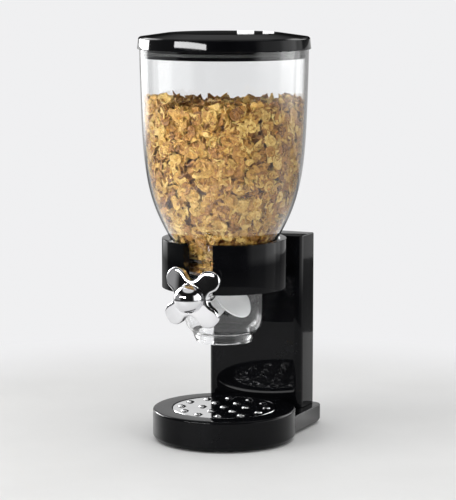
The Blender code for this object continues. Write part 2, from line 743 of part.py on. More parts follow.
def make_column_screws(shop):
    seat = BLOCK_ROOF_Z - FIT - SCREW_HEAD_THICKNESS
    up = [Matrix.Translation((x, y, seat)) for x, y in mirrored(COLUMN_SCREWS)]
    make_screws(shop, "column_screw", up)
    back = COLUMN_REAR_Y - SCREW_POCKET_DEPTH + FIT + SCREW_HEAD_THICKNESS
    turn = Matrix.Rotation(math.radians(90.0), 4, "X")
    inward = [Matrix.Translation((x, back, z)) @ turn for x, z in mirrored(COVER_SCREWS)]
    make_screws(shop, "rear_cover_screw", inward)
    wall = COLUMN_FRONT_Y + COLUMN_WALL + FIT + SCREW_HEAD_THICKNESS
    forward = [Matrix.Translation((x, wall, z)) @ turn for x, z in mirrored(COLLAR_SCREWS)]
    make_screws(shop, "collar_screw", forward)


# Collar
def funnel_radius(rise):
    return FUNNEL_RADIUS + FUNNEL_SLOPE * (rise - FUNNEL_RISE)


def funnel_rise(radius):
    return FUNNEL_RISE + (radius - FUNNEL_RADIUS) / FUNNEL_SLOPE


def collar_profile():
    slant_gap = FIT * math.hypot(1.0, FUNNEL_SLOPE)
    seat_bottom = funnel_rise(COLLAR_BORE - slant_gap)
    return [
        (COLLAR_BORE, COLLAR_BOTTOM_RISE),
        (COLLAR_RADIUS - COLLAR_EDGE, COLLAR_BOTTOM_RISE),
        (COLLAR_RADIUS, COLLAR_BOTTOM_RISE + COLLAR_EDGE),
        (COLLAR_RADIUS, COLLAR_TOP_RISE - COLLAR_EDGE),
        (COLLAR_RADIUS - COLLAR_EDGE, COLLAR_TOP_RISE),
        (funnel_radius(COLLAR_TOP_RISE) + slant_gap, COLLAR_TOP_RISE),
        (COLLAR_BORE, seat_bottom),
    ]


def make_collar(shop):
    axis = shop.shaft_axis
    collar = shop.turned("collar", collar_profile(), ROUND_STEPS, black_plastic(), None, axis)
    front = (COLLAR_BORE + COLLAR_RADIUS) / 2.0 - COLLAR_WALL
    neck = rounded_outline(NECK_HALF_WIDTH, front, COLUMN_FRONT_Y - FIT, OVERLAP, OVERLAP)
    low = COLLAR_BOTTOM_RISE + COLLAR_EDGE
    high = COLUMN_RISE - COLLAR_EDGE
    shop.join(collar, stacked_mesh([(low, neck), (high, neck)]))
    below = COLLAR_BOTTOM_RISE - CUT_REACH
    bore = rod(COLLAR_BORE, below, COLLAR_BOTTOM_RISE + CUT_REACH)
    shop.cut(collar, turned_mesh(bore, ROUND_STEPS))
    shop.cut(collar, channel_mesh())
    notch = box_outline(-NOTCH_HALF_WIDTH, NOTCH_HALF_WIDTH, -COLLAR_RADIUS - CUT_REACH, 0)
    shop.cut(collar, stacked_mesh([(below, notch), (COLLAR_TOP_RISE + CUT_REACH, notch)]))
    places = [along_y(x, z - SHAFT_Z) for x, z in mirrored(COLLAR_SCREWS)]
    tip = COLUMN_FRONT_Y + COLUMN_WALL - SCREW_LENGTH
    shop.cut(collar, turned_mesh(rod(POST_BORE, tip, COLUMN_FRONT_Y), TINY_STEPS, places))
    return collar


def channel_mesh():
    inner = COLLAR_BORE + COLLAR_WALL
    outer = COLLAR_RADIUS - COLLAR_WALL
    start = math.degrees(math.asin((NOTCH_HALF_WIDTH + COLLAR_WALL) / inner)) - 90.0
    end = 90.0 - math.degrees(math.asin((NECK_HALF_WIDTH + COLLAR_WALL) / inner))
    far_side = arc(0, 0, outer, start, end, CORNER_STEPS * 2)
    near_side = arc(0, 0, inner, end, start, CORNER_STEPS * 2)
    right = far_side + near_side
    levels = [(COLLAR_BOTTOM_RISE - CUT_REACH, right), (COLLAR_TOP_RISE - COLLAR_ROOF, right)]
    return stacked_mesh(levels, (None, Matrix.Diagonal((-1.0, 1.0, 1.0, 1.0))))


# Canister and lid
def canister_curve(inset):
    lower_radius = CANISTER_TOP_RADIUS - CANISTER_LOWER_TAPER
    points = bezier(
        (CANISTER_TOP_RADIUS, CANISTER_TOP_RISE),
        (CANISTER_TOP_RADIUS - CANISTER_UPPER_TAPER, CANISTER_UPPER_RISE),
        (lower_radius, funnel_rise(lower_radius)),
        (FUNNEL_RADIUS, FUNNEL_RISE),
        CANISTER_CURVE_STEPS,
    )
    return [(radius - inset, rise) for radius, rise in points]


def canister_profile():
    outside = [(CANISTER_RIM_RADIUS, CANISTER_RIM_RISE)] + canister_curve(0)
    shoulder = funnel_rise(SHOULDER_RADIUS)
    foot = [
        (SHOULDER_RADIUS, shoulder),
        (SPIGOT_RADIUS, shoulder),
        (SPIGOT_RADIUS, SPIGOT_BOTTOM_RISE),
        (SPIGOT_INNER_RADIUS, SPIGOT_BOTTOM_RISE),
        (SPIGOT_INNER_RADIUS, funnel_rise(SPIGOT_RADIUS)),
    ]
    inside = canister_curve(CANISTER_WALL)[::-1]
    return outside + foot + inside + [(CANISTER_RIM_RADIUS - CANISTER_WALL, CANISTER_RIM_RISE)]


def lug_placements():
    turns = [math.radians(LUG_PHASE_DEG) + 2.0 * math.pi * index / LUG_COUNT for index in range(LUG_COUNT)]
    return [Matrix.Rotation(turn, 4, "Z") for turn in turns]


def make_canister(shop):
    axis = shop.shaft_axis
    canister = shop.turned("canister", canister_profile(), ROUND_STEPS, clear_plastic(), None, axis)
    half = LUG_WIDTH / 2.0
    lug = box_outline(SPIGOT_RADIUS - OVERLAP, SPIGOT_RADIUS + LUG_PROTRUSION, -half, half)
    top = funnel_rise(SHOULDER_RADIUS) + FIT
    return shop.join(canister, stacked_mesh([(LUG_BOTTOM_RISE, lug), (top, lug)], lug_placements()))


def make_lid_cap(shop):
    inner = CANISTER_RIM_RADIUS + FIT
    ceiling = PLUG_PLATE_TOP_RISE + FIT
    profile = [
        (0, LID_TOP_RISE),
        (LID_FLAT_RADIUS, LID_TOP_RISE),
        (LID_SHOULDER_RADIUS, LID_TOP_RISE - LID_SHOULDER_DROP),
        (LID_EDGE_RADIUS, LID_TOP_RISE - LID_EDGE_DROP),
        (LID_RIM_RADIUS, LID_RIM_RISE),
        (inner, LID_RIM_RISE),
        (inner, ceiling),
        (LID_SHOULDER_RADIUS - LID_TOP_THICKNESS, ceiling),
        (LID_FLAT_RADIUS, LID_TOP_RISE - LID_TOP_THICKNESS),
        (0, LID_TOP_RISE - LID_TOP_THICKNESS),
    ]
    return shop.turned("lid_cap", profile, ROUND_STEPS, black_plastic(), None, shop.shaft_axis)


def make_lid_plug(shop):
    inner = PLUG_RADIUS - PLUG_WALL
    half_groove = SEAL_HEIGHT / 2.0 + FIT
    groove = PLUG_RADIUS - SEAL_GROOVE_DEPTH
    bottom = CANISTER_RIM_RISE - PLUG_DEPTH
    profile = [
        (0, PLUG_PLATE_TOP_RISE),
        (CANISTER_RIM_RADIUS, PLUG_PLATE_TOP_RISE),
        (CANISTER_RIM_RADIUS, PLUG_PLATE_BOTTOM_RISE),
        (PLUG_RADIUS, PLUG_PLATE_BOTTOM_RISE),
        (PLUG_RADIUS, SEAL_RISE + half_groove),
        (groove, SEAL_RISE + half_groove),
        (groove, SEAL_RISE - half_groove),
        (PLUG_RADIUS, SEAL_RISE - half_groove),
        (PLUG_RADIUS, bottom),
        (inner, bottom),
        (inner, PLUG_PLATE_BOTTOM_RISE),
        (0, PLUG_PLATE_BOTTOM_RISE),
    ]
    return shop.turned("lid_plug", profile, ROUND_STEPS, satin_black_plastic(), None, shop.shaft_axis)


def make_lid_seal(shop):
    inner = PLUG_RADIUS - SEAL_GROOVE_DEPTH + FIT
    outer = CANISTER_TOP_RADIUS - CANISTER_WALL - FIT
    half = SEAL_HEIGHT / 2.0
    profile = [
        (inner, SEAL_RISE - half),
        (outer, SEAL_RISE),
        (inner, SEAL_RISE + half),
    ]
    return shop.turned("lid_seal", profile, ROUND_STEPS, black_rubber(), None, shop.shaft_axis)


# Spout cup
def cup_curve(inset):
    points = bezier(
        (CUP_RADIUS, -CUP_SHOULDER_DROP),
        (CUP_RADIUS, -CUP_BULGE_DROP),
        (CUP_MOUTH_RADIUS + CUP_BULGE_FLARE, -CUP_BULGE_TANGENT_DROP),
        (CUP_MOUTH_RADIUS + CUP_MOUTH_FLARE, -CUP_BULGE_DROP),
        CUP_CURVE_STEPS,
    )
    return [(radius - inset, height) for radius, height in points]


def cup_profile():
    top = funnel_rise(SHOULDER_RADIUS) - FIT
    outside = [
        (CUP_SOCKET_RADIUS, top),
        (CUP_SOCKET_RADIUS, CUP_SOCKET_RISE),
        (CUP_RADIUS, CUP_SOCKET_RISE - CUP_SOCKET_TAPER),
    ]
    outside += cup_curve(0)
    outside += [
        (CUP_MOUTH_RADIUS + CUP_NECK_FLARE, -CUP_NECK_DROP),
        (CUP_MOUTH_RADIUS + CUP_LIP_FLARE, -CUP_LIP_DROP),
        (CUP_MOUTH_RADIUS, -CUP_MOUTH_DROP),
    ]
    throat = CUP_MOUTH_RADIUS - CUP_WALL
    inside = [
        (throat, -CUP_MOUTH_DROP),
        (throat, -CUP_LEDGE_DROP - CUP_LEDGE_DIP),
        (throat + CUP_MOUTH_FLARE, -CUP_LEDGE_DROP),
    ]
    inside += [point for point in cup_curve(CUP_WALL) if point[1] > -CUP_LEDGE_DROP][::-1]
    floor = SPIGOT_BOTTOM_RISE - FIT
    socket = [(CUP_INNER_RADIUS, floor), (SOCKET_RADIUS, floor), (SOCKET_RADIUS, top)]
    return outside + inside + socket


def make_spout_cup(shop):
    cup = shop.turned("spout_cup", cup_profile(), CUP_STEPS, clear_plastic(), None, shop.shaft_axis)
    wall = CUP_RADIUS - CUP_WALL / 2.0
    axis = along_y()
    shop.join(cup, turned_mesh(rod(BOSS_RADIUS, BOSS_FRONT_Y, -wall), MEDIUM_STEPS, [axis]))
    shop.join(cup, turned_mesh(rod(REAR_BOSS_RADIUS, wall, REAR_BOSS_REAR_Y), SMALL_STEPS, [axis]))
    shop.cut(cup, turned_mesh(rod(BUSH_RADIUS + FIT, BOSS_FRONT_Y - CUT_REACH, 0), MEDIUM_STEPS, [axis]))
    shop.cut(cup, turned_mesh(rod(SHAFT_RADIUS + FIT, 0, REAR_BEARING_Y), SMALL_STEPS, [axis]))
    half = LUG_WIDTH / 2.0 + FIT
    slot = box_outline(SPIGOT_RADIUS - OVERLAP, CUP_SOCKET_RADIUS + CUT_REACH, -half, half)
    levels = [(LUG_BOTTOM_RISE - FIT, slot), (FUNNEL_RISE, slot)]
    shop.cut(cup, stacked_mesh(levels, lug_placements()))
    return cup


def make_shaft_bush(shop):
    flange_back = BOSS_FRONT_Y - FIT
    bore = SHAFT_RADIUS + FIT
    profile = [
        (bore, flange_back - BUSH_FLANGE_THICKNESS),
        (BUSH_FLANGE_RADIUS, flange_back - BUSH_FLANGE_THICKNESS),
        (BUSH_FLANGE_RADIUS, flange_back),
        (BUSH_RADIUS, flange_back),
        (BUSH_RADIUS, -CUP_INNER_RADIUS),
        (bore, -CUP_INNER_RADIUS),
    ]
    return shop.turned("shaft_bush", profile, SMALL_STEPS, white_plastic(), along_y(), shop.shaft_axis)


# Metering wheel, shaft and knob, made about the shaft's axis
def make_drive_shaft(shop):
    start = -WHEEL_HALF_LENGTH
    front = rod(SHAFT_RADIUS, SHAFT_FRONT_Y, start)
    shaft = shop.turned("drive_shaft", front, SMALL_STEPS, screw_steel(), along_y(), shop.shaft_axis)
    hexagon = rod(SHAFT_RADIUS, start - OVERLAP, -start + OVERLAP)
    shop.join(shaft, turned_mesh(hexagon, HEX_SIDES, [along_y()]))
    rear = rod(SHAFT_RADIUS, -start, SHAFT_REAR_Y)
    shop.join(shaft, turned_mesh(rear, SMALL_STEPS, [along_y()]))
    return shaft


def make_wheel_core(shop):
    outside = rod(WHEEL_CORE_RADIUS, -WHEEL_HALF_LENGTH, WHEEL_HALF_LENGTH)
    core = shop.turned("wheel_core", outside, SMALL_STEPS, white_plastic(), along_y(), shop.shaft_axis)
    reach = WHEEL_HALF_LENGTH + CUT_REACH
    bore = rod(SHAFT_RADIUS + FIT, -reach, reach)
    return shop.cut(core, turned_mesh(bore, HEX_SIDES, [along_y()]))


def blade_outline():
    corner = math.degrees(math.acos(WHEEL_HALF_LENGTH / WHEEL_RADIUS))
    rounded = arc(0, 0, WHEEL_RADIUS, corner - 90.0, 90.0 - corner, CORNER_STEPS * 2)
    root = WHEEL_SLEEVE_RADIUS - OVERLAP
    return [(root, -WHEEL_HALF_LENGTH)] + rounded + [(root, WHEEL_HALF_LENGTH)]


def make_paddle_wheel(shop):
    inner = WHEEL_CORE_RADIUS + FIT
    sleeve = [
        (inner, -WHEEL_HALF_LENGTH),
        (WHEEL_SLEEVE_RADIUS, -WHEEL_HALF_LENGTH),
        (WHEEL_SLEEVE_RADIUS, WHEEL_HALF_LENGTH),
        (inner, WHEEL_HALF_LENGTH),
    ]
    wheel = shop.turned("paddle_wheel", sleeve, MEDIUM_STEPS, white_silicone(), along_y(), shop.shaft_axis)
    half = BLADE_THICKNESS / 2.0
    blade = [(-half, blade_outline()), (half, blade_outline())]
    turns = [math.radians(BLADE_PHASE_DEG) + 2.0 * math.pi * index / BLADE_COUNT for index in range(BLADE_COUNT)]
    placements = [Matrix.Rotation(-turn, 4, "Y") for turn in turns]
    return shop.join(wheel, stacked_mesh(blade, placements))


def knob_outline(inset):
    lobe = KNOB_LOBE_RADIUS - inset
    half_turn = math.pi / KNOB_LOBES
    centre = KNOB_LOBE_CENTRE
    reach = KNOB_VALLEY_RADIUS
    cosine = math.cos(half_turn)
    top = KNOB_LOBE_RADIUS**2 - centre**2 - reach**2 + 2.0 * centre * reach * cosine
    valley = top / (2.0 * (reach - centre * cosine - KNOB_LOBE_RADIUS))
    hollow = valley + inset
    valley_centre = reach + valley
    swing = math.atan2(valley_centre * math.sin(half_turn), valley_centre * cosine - centre)
    lobe_end = math.degrees(swing)
    lean = math.atan2(centre * math.sin(half_turn), valley_centre - centre * cosine)
    valley_half = math.degrees(lean)
    outline = []
    for index in range(KNOB_LOBES):
        facing = KNOB_PHASE_DEG + 360.0 * index / KNOB_LOBES
        angle = math.radians(facing)
        x, y = centre * math.cos(angle), centre * math.sin(angle)
        outline += arc(x, y, lobe, facing - lobe_end, facing + lobe_end, LOBE_STEPS)
        between = facing + math.degrees(half_turn)
        angle = math.radians(between)
        x, y = valley_centre * math.cos(angle), valley_centre * math.sin(angle)
        start = between + 180.0 + valley_half
        outline += arc(x, y, hollow, start, start - 2.0 * valley_half, CORNER_STEPS)[1:-1]
    return outline


def crowned_ring(mesh, inset, depth):
    """A ring on the knob's crowned face, or the given depth behind it."""
    ring = []
    for x, y in knob_outline(inset):
        crown = (x * x + y * y) / (2.0 * KNOB_CROWN_RADIUS)
        ring.append(mesh.verts.new((x, y, KNOB_FRONT_Y + crown + depth)))
    return ring


def flat_ring(mesh, inset, height):
    return [mesh.verts.new((x, y, height)) for x, y in knob_outline(inset)]


def knob_mesh():
    mesh = bmesh.new()
    step = KNOB_EDGE * FIRST_STEP_SHARE
    rings = [[mesh.verts.new((0, 0, KNOB_FRONT_Y))]]
    rings += [crowned_ring(mesh, KNOB_LOBE_RADIUS * share, 0) for share in KNOB_FACE_SHARES]
    rings += [
        crowned_ring(mesh, KNOB_EDGE, 0),
        crowned_ring(mesh, step, step),
        crowned_ring(mesh, 0, KNOB_EDGE),
        flat_ring(mesh, 0, KNOB_BACK_Y - step),
        flat_ring(mesh, step, KNOB_BACK_Y),
    ]
    for ring, following in zip(rings, rings[1:]):
        join_rings(mesh, ring, following, len(following))
    mesh.faces.new(rings[-1])
    bmesh.ops.transform(mesh, matrix=along_y(), verts=mesh.verts)
    return mesh


def make_knob(shop):
    knob = shop.solid("knob", knob_mesh(), mirror_metal(), shop.shaft_axis)
    seat = rod(DOME_RADIUS + DOME_SEAT_MARGIN, KNOB_FRONT_Y, KNOB_BACK_Y - KNOB_THICKNESS / 2.0)
    shop.join(knob, turned_mesh(seat, MEDIUM_STEPS, [along_y()]))
    sleeve_back = BOSS_FRONT_Y - FIT - BUSH_FLANGE_THICKNESS - RUNNING_FIT
    sleeve = rod(KNOB_SLEEVE_RADIUS, KNOB_BACK_Y - OVERLAP, sleeve_back)
    shop.join(knob, turned_mesh(sleeve, MEDIUM_STEPS, [along_y()]))
    bore = rod(SHAFT_RADIUS + FIT, KNOB_FRONT_Y - CUT_REACH, sleeve_back + CUT_REACH)
    return shop.cut(knob, turned_mesh(bore, SMALL_STEPS, [along_y()]))


def make_knob_dome(shop):
    back = KNOB_FRONT_Y - FIT
    widest = math.degrees(math.asin((back - DOME_CENTRE_Y) / DOME_RADIUS))
    outline = arc(0, DOME_CENTRE_Y, DOME_RADIUS, widest, -90.0, DOME_STEPS)[:-1]
    profile = outline + [(0, DOME_CENTRE_Y - DOME_RADIUS), (0, back)]
    return shop.turned("knob_dome", profile, MEDIUM_STEPS, mirror_metal(), along_y(), shop.shaft_axis)


def build():
    clear_scene()
    shop = Shop(AXIS_Y)
    make_base_shell(shop)
    make_base_plate(shop)
    make_feet(shop)
    make_base_plate_screws(shop)
    make_crumb_tray(shop)
    make_column_shell(shop)
    make_rear_cover(shop)
    make_column_screws(shop)
    make_collar(shop)
    make_canister(shop)
    make_spout_cup(shop)
    make_shaft_bush(shop)
    make_lid_cap(shop)
    make_lid_plug(shop)
    make_lid_seal(shop)
    make_drive_shaft(shop)
    make_wheel_core(shop)
    make_paddle_wheel(shop)
    make_knob(shop)
    make_knob_dome(shop)


build()
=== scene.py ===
"""Looks of the cereal dispenser: fine surfaces, materials, cereal, light and camera."""

import math

import bmesh
import bpy
import numpy as np
from mathutils import Matrix, Vector


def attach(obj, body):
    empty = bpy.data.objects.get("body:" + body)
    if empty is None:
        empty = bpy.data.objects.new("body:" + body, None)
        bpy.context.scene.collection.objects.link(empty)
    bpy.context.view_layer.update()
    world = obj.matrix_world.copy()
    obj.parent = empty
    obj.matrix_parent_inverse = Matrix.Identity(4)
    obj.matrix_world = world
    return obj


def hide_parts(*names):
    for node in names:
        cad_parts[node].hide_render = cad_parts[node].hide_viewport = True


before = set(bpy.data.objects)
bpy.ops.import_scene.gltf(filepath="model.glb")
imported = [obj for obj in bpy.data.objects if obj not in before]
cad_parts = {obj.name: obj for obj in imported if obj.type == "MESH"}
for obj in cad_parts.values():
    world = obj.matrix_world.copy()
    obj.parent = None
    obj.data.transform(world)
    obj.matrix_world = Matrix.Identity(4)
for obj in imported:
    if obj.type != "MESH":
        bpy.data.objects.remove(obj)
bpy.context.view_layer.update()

# Units and fits. Lengths are in mm about the canister's axis, heights are from the counter
MM = 0.001
AXIS_Y = -8.1
FIT = 0.3
OVERLAP = 1.0
SHAFT_Z = 149.4

# Limits of the mesh tools
SHARP_ANGLE = math.radians(35.0)
ON_AXIS = 1e-6
SHARPEST_HALF_ANGLE = 0.05
STRAIGHT_HALF_ANGLE = math.pi / 2 - 0.01

# Canister: a Bezier wall of (radius, height) from the rim to the funnel, then the spigot
CANISTER_WALL = 2.4
CANISTER_CURVE = ((81.0, 367.0), (78.2, 269.0), (78.7, 242.3), (49.6, 193.5))
FUNNEL_TOP, FUNNEL_FOOT = CANISTER_CURVE[2:]
FUNNEL_SLOPE = (FUNNEL_TOP[0] - FUNNEL_FOOT[0]) / (FUNNEL_TOP[1] - FUNNEL_FOOT[1])
FUNNEL_END_Z = FUNNEL_FOOT[1] - 3.5
RIM_RADIUS = CANISTER_CURVE[0][0] + 0.3
RIM_Z = CANISTER_CURVE[0][1] + 18.0
RIM_FLARE = 0.1
RIM_DEPTH = 5.0
RIM_EDGE = 0.9
SPIGOT_RADIUS = 39.0
SPIGOT_INNER_RADIUS = SPIGOT_RADIUS - CANISTER_WALL
SPIGOT_BOTTOM_Z = SHAFT_Z + 23.1
SHOULDER_RADIUS = SPIGOT_RADIUS + 2.9
INNER_WALL_END_Z = 120.0
LUG_ROOT_RADIUS = SPIGOT_RADIUS - OVERLAP
LUG_RADIUS = SPIGOT_RADIUS + 2.1
LUG_HALF_WIDTH = 4.0
LUG_BOTTOM_Z = SPIGOT_BOTTOM_Z + 2.8
LUG_TURNS = [Matrix.Rotation(math.radians(30.0 + 120.0 * index), 4, "Z") for index in range(3)]

# Spout cup: socket, Bezier bowl and mouth, with a boss at each end of the shaft
CUP_WALL = 2.0
CUP_RADIUS = SPIGOT_INNER_RADIUS + CUP_WALL
CUP_CURVE = ((CUP_RADIUS, 136.0), (CUP_RADIUS, 104.7), (34.5, 113.0), (30.4, 104.7))
CUP_NECK = ((30.3, 104.4), (28.9, 100.5, 5.0), (27.9, 98.2, 2.0))
CUP_SOCKET_RADIUS = SPIGOT_RADIUS + FIT + 2.3
CUP_SEAM_RADIUS = CUP_SOCKET_RADIUS - 0.6
CUP_SOCKET_BOTTOM_Z = SHAFT_Z + 19.1
CUP_SHOULDER_Z = CUP_SOCKET_BOTTOM_Z - 3.5
CUP_MOUTH_RADIUS = 27.4
CUP_MOUTH_Z = SHAFT_Z - 52.6
CUP_LEDGE_Z = SHAFT_Z - 41.5
CUP_LEDGE_WIDTH = 3.0
CUP_LEDGE_DIP = 1.2
SLOT_BOTTOM_Z = LUG_BOTTOM_Z - 0.4
SLOT_REACH = (55.0, 193.0)
BOSS_RADIUS = 9.0
BOSS_FRONT_Y = -CUP_RADIUS - 18.9
BUSH_HOLE_RADIUS = 6.0
BUSH_HOLE_START_Y = -70
REAR_BOSS_RADIUS = 8.0
REAR_BOSS_END_Y = 43.8
SHAFT_HOLE_RADIUS = 4.1 + FIT
SHAFT_HOLE_END_Y = REAR_BOSS_END_Y - 1.8

# Lid cap, plug and seal, from the canister's rim
LID_TOP_Z = RIM_Z + 10.0
LID_FLAT_RADIUS = 54.8
LID_SHOULDER = (80.6, LID_TOP_Z - 3.6)
LID_EDGE = (82.2, LID_TOP_Z - 5.0)
LID_RADIUS = 83.3
LID_BOTTOM_Z = RIM_Z - 5.4
LID_SKIRT_RADIUS = RIM_RADIUS + FIT
LID_CEILING_Z = RIM_Z + 3.5
LID_TOP_WALL = 2.8
PLUG_RADIUS = RIM_RADIUS - CANISTER_WALL - 0.9
PLUG_WALL = 2.2
PLUG_BOTTOM_Z = RIM_Z - 13.7
SEAL_Z = RIM_Z - 9.0
SEAL_ROOT_RADIUS = PLUG_RADIUS - 0.7
SEAL_LIP_RADIUS = PLUG_RADIUS - 0.1
SEAL_RADIUS = PLUG_RADIUS + 0.25
SEAL_HALF_HEIGHT = 1.5
SEAL_LIP_RISE = 0.8
GROOVE_RADIUS = PLUG_RADIUS - 1.0
GROOVE_HALF_HEIGHT = 1.9

# Collar: a ring with a conical seat, hollow from below, and a neck to the column
COLLAR_INNER_RADIUS = CUP_SOCKET_RADIUS + 6.6
COLLAR_RADIUS = COLLAR_INNER_RADIUS + 12.0
COLLAR_BOTTOM_Z = SHAFT_Z + 1.0
COLLAR_TOP_Z = COLLAR_BOTTOM_Z + 47.2
COLLAR_WALL = 2.7
COLLAR_EDGE = 0.6
CHANNEL_TOP_Z = COLLAR_TOP_Z - 12.6
NOTCH_HALF_WIDTH = BOSS_RADIUS + 6.1
NECK_HALF_WIDTH = 30.0
NECK_FRONT_Y = 51.5
NECK_REAR_Y = 70.0
NECK_HEIGHTS = (COLLAR_BOTTOM_Z + 0.8, COLLAR_TOP_Z - 5.4)
NECK_CORNER = 1.0
COLLAR_CUT_START_Z = 140
COLLAR_BORE_END_Z = 160
NOTCH_CUT_FRONT_Y = -75
NOTCH_CUT_END_Z = 210

# Column and its rear cover
COLUMN_HALF_WIDTH = 50.6
COLUMN_FRONT_Y = NECK_REAR_Y + FIT
COLUMN_REAR_Y = COLUMN_FRONT_Y + 35.9
COLUMN_BOTTOM_Z = 19.6
COLUMN_TOP_Z = 193.0
COLUMN_FRONT_CORNER = 7.8
COLUMN_REAR_CORNER = 3.0
COLUMN_WALL = 3.0
COLUMN_EDGES = (0.3, 1.0)
COVER_LEDGE = 1.6
COVER_THICKNESS = 2.6
COVER_EDGE = 0.35
COVER_CUT_START_Y = 100
COLUMN_CUT_END_Y = 110
REBATE_CUT_END_Y = 120

# Base: a round disc with the tray's well, and a block under the column
BASE_BOTTOM_Z = 1.6
BASE_TUCK = 2.2
BASE_TUCK_Z = BASE_BOTTOM_Z + 3.4
BASE_WALL = 3.4
DISC_RADIUS = COLUMN_FRONT_Y - 0.6
DISC_TOP_Z = BASE_BOTTOM_Z + 28.9
DISC_ROOF = 2.7
WELL_RADIUS = 51.0
WELL_Z = DISC_TOP_Z - 4.5
BLOCK_HALF_WIDTH = COLUMN_HALF_WIDTH + 9.8
BLOCK_REAR_Y = COLUMN_REAR_Y + 3.3
BLOCK_TOP_Z = COLUMN_BOTTOM_Z - FIT
BLOCK_CORNER = 12.0
BLOCK_EDGE = 1.0
BLOCK_ROOF = 3.0
PLATE_Z = BASE_BOTTOM_Z + 0.4
BASE_CUT_START_Z = -5

# Crumb tray
TRAY_RADIUS = WELL_RADIUS - 0.7
TRAY_FLAT_RADIUS = TRAY_RADIUS - 0.6
TRAY_EDGE_FALL = 1.6
TRAY_TOP_Z = DISC_TOP_Z - FIT
TRAY_BOTTOM_Z = WELL_Z + FIT
TRAY_RIM_WIDTH = 1.6
TRAY_SKIN = 1.4
TRAY_STEPS = 288
TRAY_FACE_RINGS = np.linspace(0.6, 48.6, 96)
TRAY_EDGE_RINGS = (48.9, 49.3, TRAY_FLAT_RADIUS, 50.0, 50.2, TRAY_RADIUS)
BUMP_RADIUS = 4.2
BUMP_HEIGHT = 1.8
BUMP_SPHERE = (BUMP_RADIUS**2 + BUMP_HEIGHT**2) / (2 * BUMP_HEIGHT)
BUMP_RINGS = ((21.3, 6), (41.5, 12))
BUMP_PHASE = 18.0

# Screws: pan heads with a cross recess, sunk in pockets
SCREW_HEAD_RADIUS = 3.0
SCREW_HEAD_HEIGHT = 1.1
SCREW_SHANK_RADIUS = 1.3
SCREW_LENGTH = 9.5
SCREW_POCKET_DEPTH = 1.6
SCREW_SINK = SCREW_POCKET_DEPTH - SCREW_HEAD_HEIGHT - FIT
SCREW_TURN = 20.0
CROSS_HALF_LENGTH = 1.9
CROSS_HALF_WIDTH = 0.35
CROSS_HEIGHTS = (-0.5, 0.7)
COVER_SCREW_X = COLUMN_HALF_WIDTH - 12.6
COVER_SCREW_INSET = 18.7
BASE_SCREW_PLACES = ((-49.97, -20.0), (49.97, -20.0), (-12.0, 96.0), (12.0, 96.0))

# Metering wheel, with the levels of a blade as (height, inset of its edge)
WHEEL_RADIUS = SPIGOT_INNER_RADIUS - 0.6
WHEEL_HALF_LENGTH = 30.0
WHEEL_BORE_RADIUS = 6.4
WHEEL_SLEEVE_RADIUS = 9.0
BLADE_ROOT_RADIUS = 8.0
BLADE_LEVELS = ((-0.85, 0.35), (-0.6, 0.1), (0.0, 0.0), (0.6, 0.1), (0.85, 0.35))
BLADE_COUNT = 6
BLADE_PHASE = -50.0

# Knob and its dome
KNOB_FRONT_Y = -77.4
KNOB_BACK_Y = -66.5
KNOB_CROWN_RADIUS = 105.0
KNOB_EDGE = 1.4
KNOB_EDGE_ANGLES = [math.pi / 2 * step / 6 for step in range(7)]
KNOB_LOBES = 4
KNOB_PHASE = 47.6
KNOB_LOBE_CENTRE = 24.0
KNOB_LOBE_RADIUS = 10.5
KNOB_VALLEY_RADIUS = 17.0
KNOB_ARC_STEPS = 14
KNOB_FACE_SIZES = np.linspace(0.1, 1.0, 16)
KNOB_SLEEVE_RADIUS = 8.5
KNOB_SLEEVE_END_Y = -59.5
KNOB_BORE_ENDS = (-90, -50)
SEAT_RADIUS = 14.2
SEAT_DEPTH = 5.0
DOME_CENTRE_Y = -79.5
DOME_RADIUS = 13.8

# Flake of cereal: ranges for its random draws, and waves as (radians per mm, how many, heights)
FLAKE_SHAPES = 28
FLAKE_RINGS = 5
FLAKE_STEPS = 14
FLAKE_WOBBLE = 0.13
FLAKE_REACH = (0.45, 1.6)
FLAKE_SIZE = (3.8, 7.8)
FLAKE_STRETCH = (0.62, 1.0)
FLAKE_BEND_ALONG = (-0.10, 0.10)
FLAKE_BEND_ACROSS = (0.02, 0.13)
FLAKE_WAVES = (((0.4, 0.9), 3, (0.45, 1.00)), ((1.1, 2.0), 5, (0.20, 0.50)))
FLAKE_HALF_THICKNESS = 0.38
FLAKE_SCALE = (0.85, 1.15)
FLAKE_TONE = (-0.10, 0.50)
ANY_PHASE = (0, 6.28)

# Heap of cereal, with layers as (depth under the wall, greatest tilt, flakes)
WALL_LAYERS = ((2.2, 0.80, 1150), (4.2, 1.15, 950), (6.6, 1.35, 620))
WALL_HEIGHTS = (168.0, 333.0)
WALL_DRAW = 79.0
TOP_FLAKES = 420
FLAKES_PER_PIECE = 650
TOP_RADIUS = 76.0
TOP_SPREAD = (-4.0, 1.5)
TOP_TILT = 1.0
HEAP_TOP_Z = 324.5
HEAP_DISH = 6.5
HEAP_HALF_WIDTH = 75.0
PICTURE_RIGHT = (0.907, 0.421)
CEREAL_BOTTOM_Z = 163.0
CEREAL_WALL_GAP = 0.45
CEREAL_WHEEL_RADIUS = WHEEL_RADIUS + 1.2
CORE_INSET = 7.0
CORE_FOOT = ((0, 192.0), (26.0, 190.0))
CORE_HEIGHTS = np.linspace(196.0, 319.0, 40)
CORE_TOP_Z = 320.5
# The core's tone lies below every flake's: painted shade seen through the gaps
CORE_SHADE_TONE = -0.15

# Backdrop and floor, with the floor's fade in metres from the centre
PALE = (0.87, 0.87, 0.88)
WHITE = (1.0, 1.0, 1.0)
FLOOR_RADII = (0, 120, 300, 600)
FLOOR_FADE = (0.30, 0.56)
FLOOR_DROP = 0.2

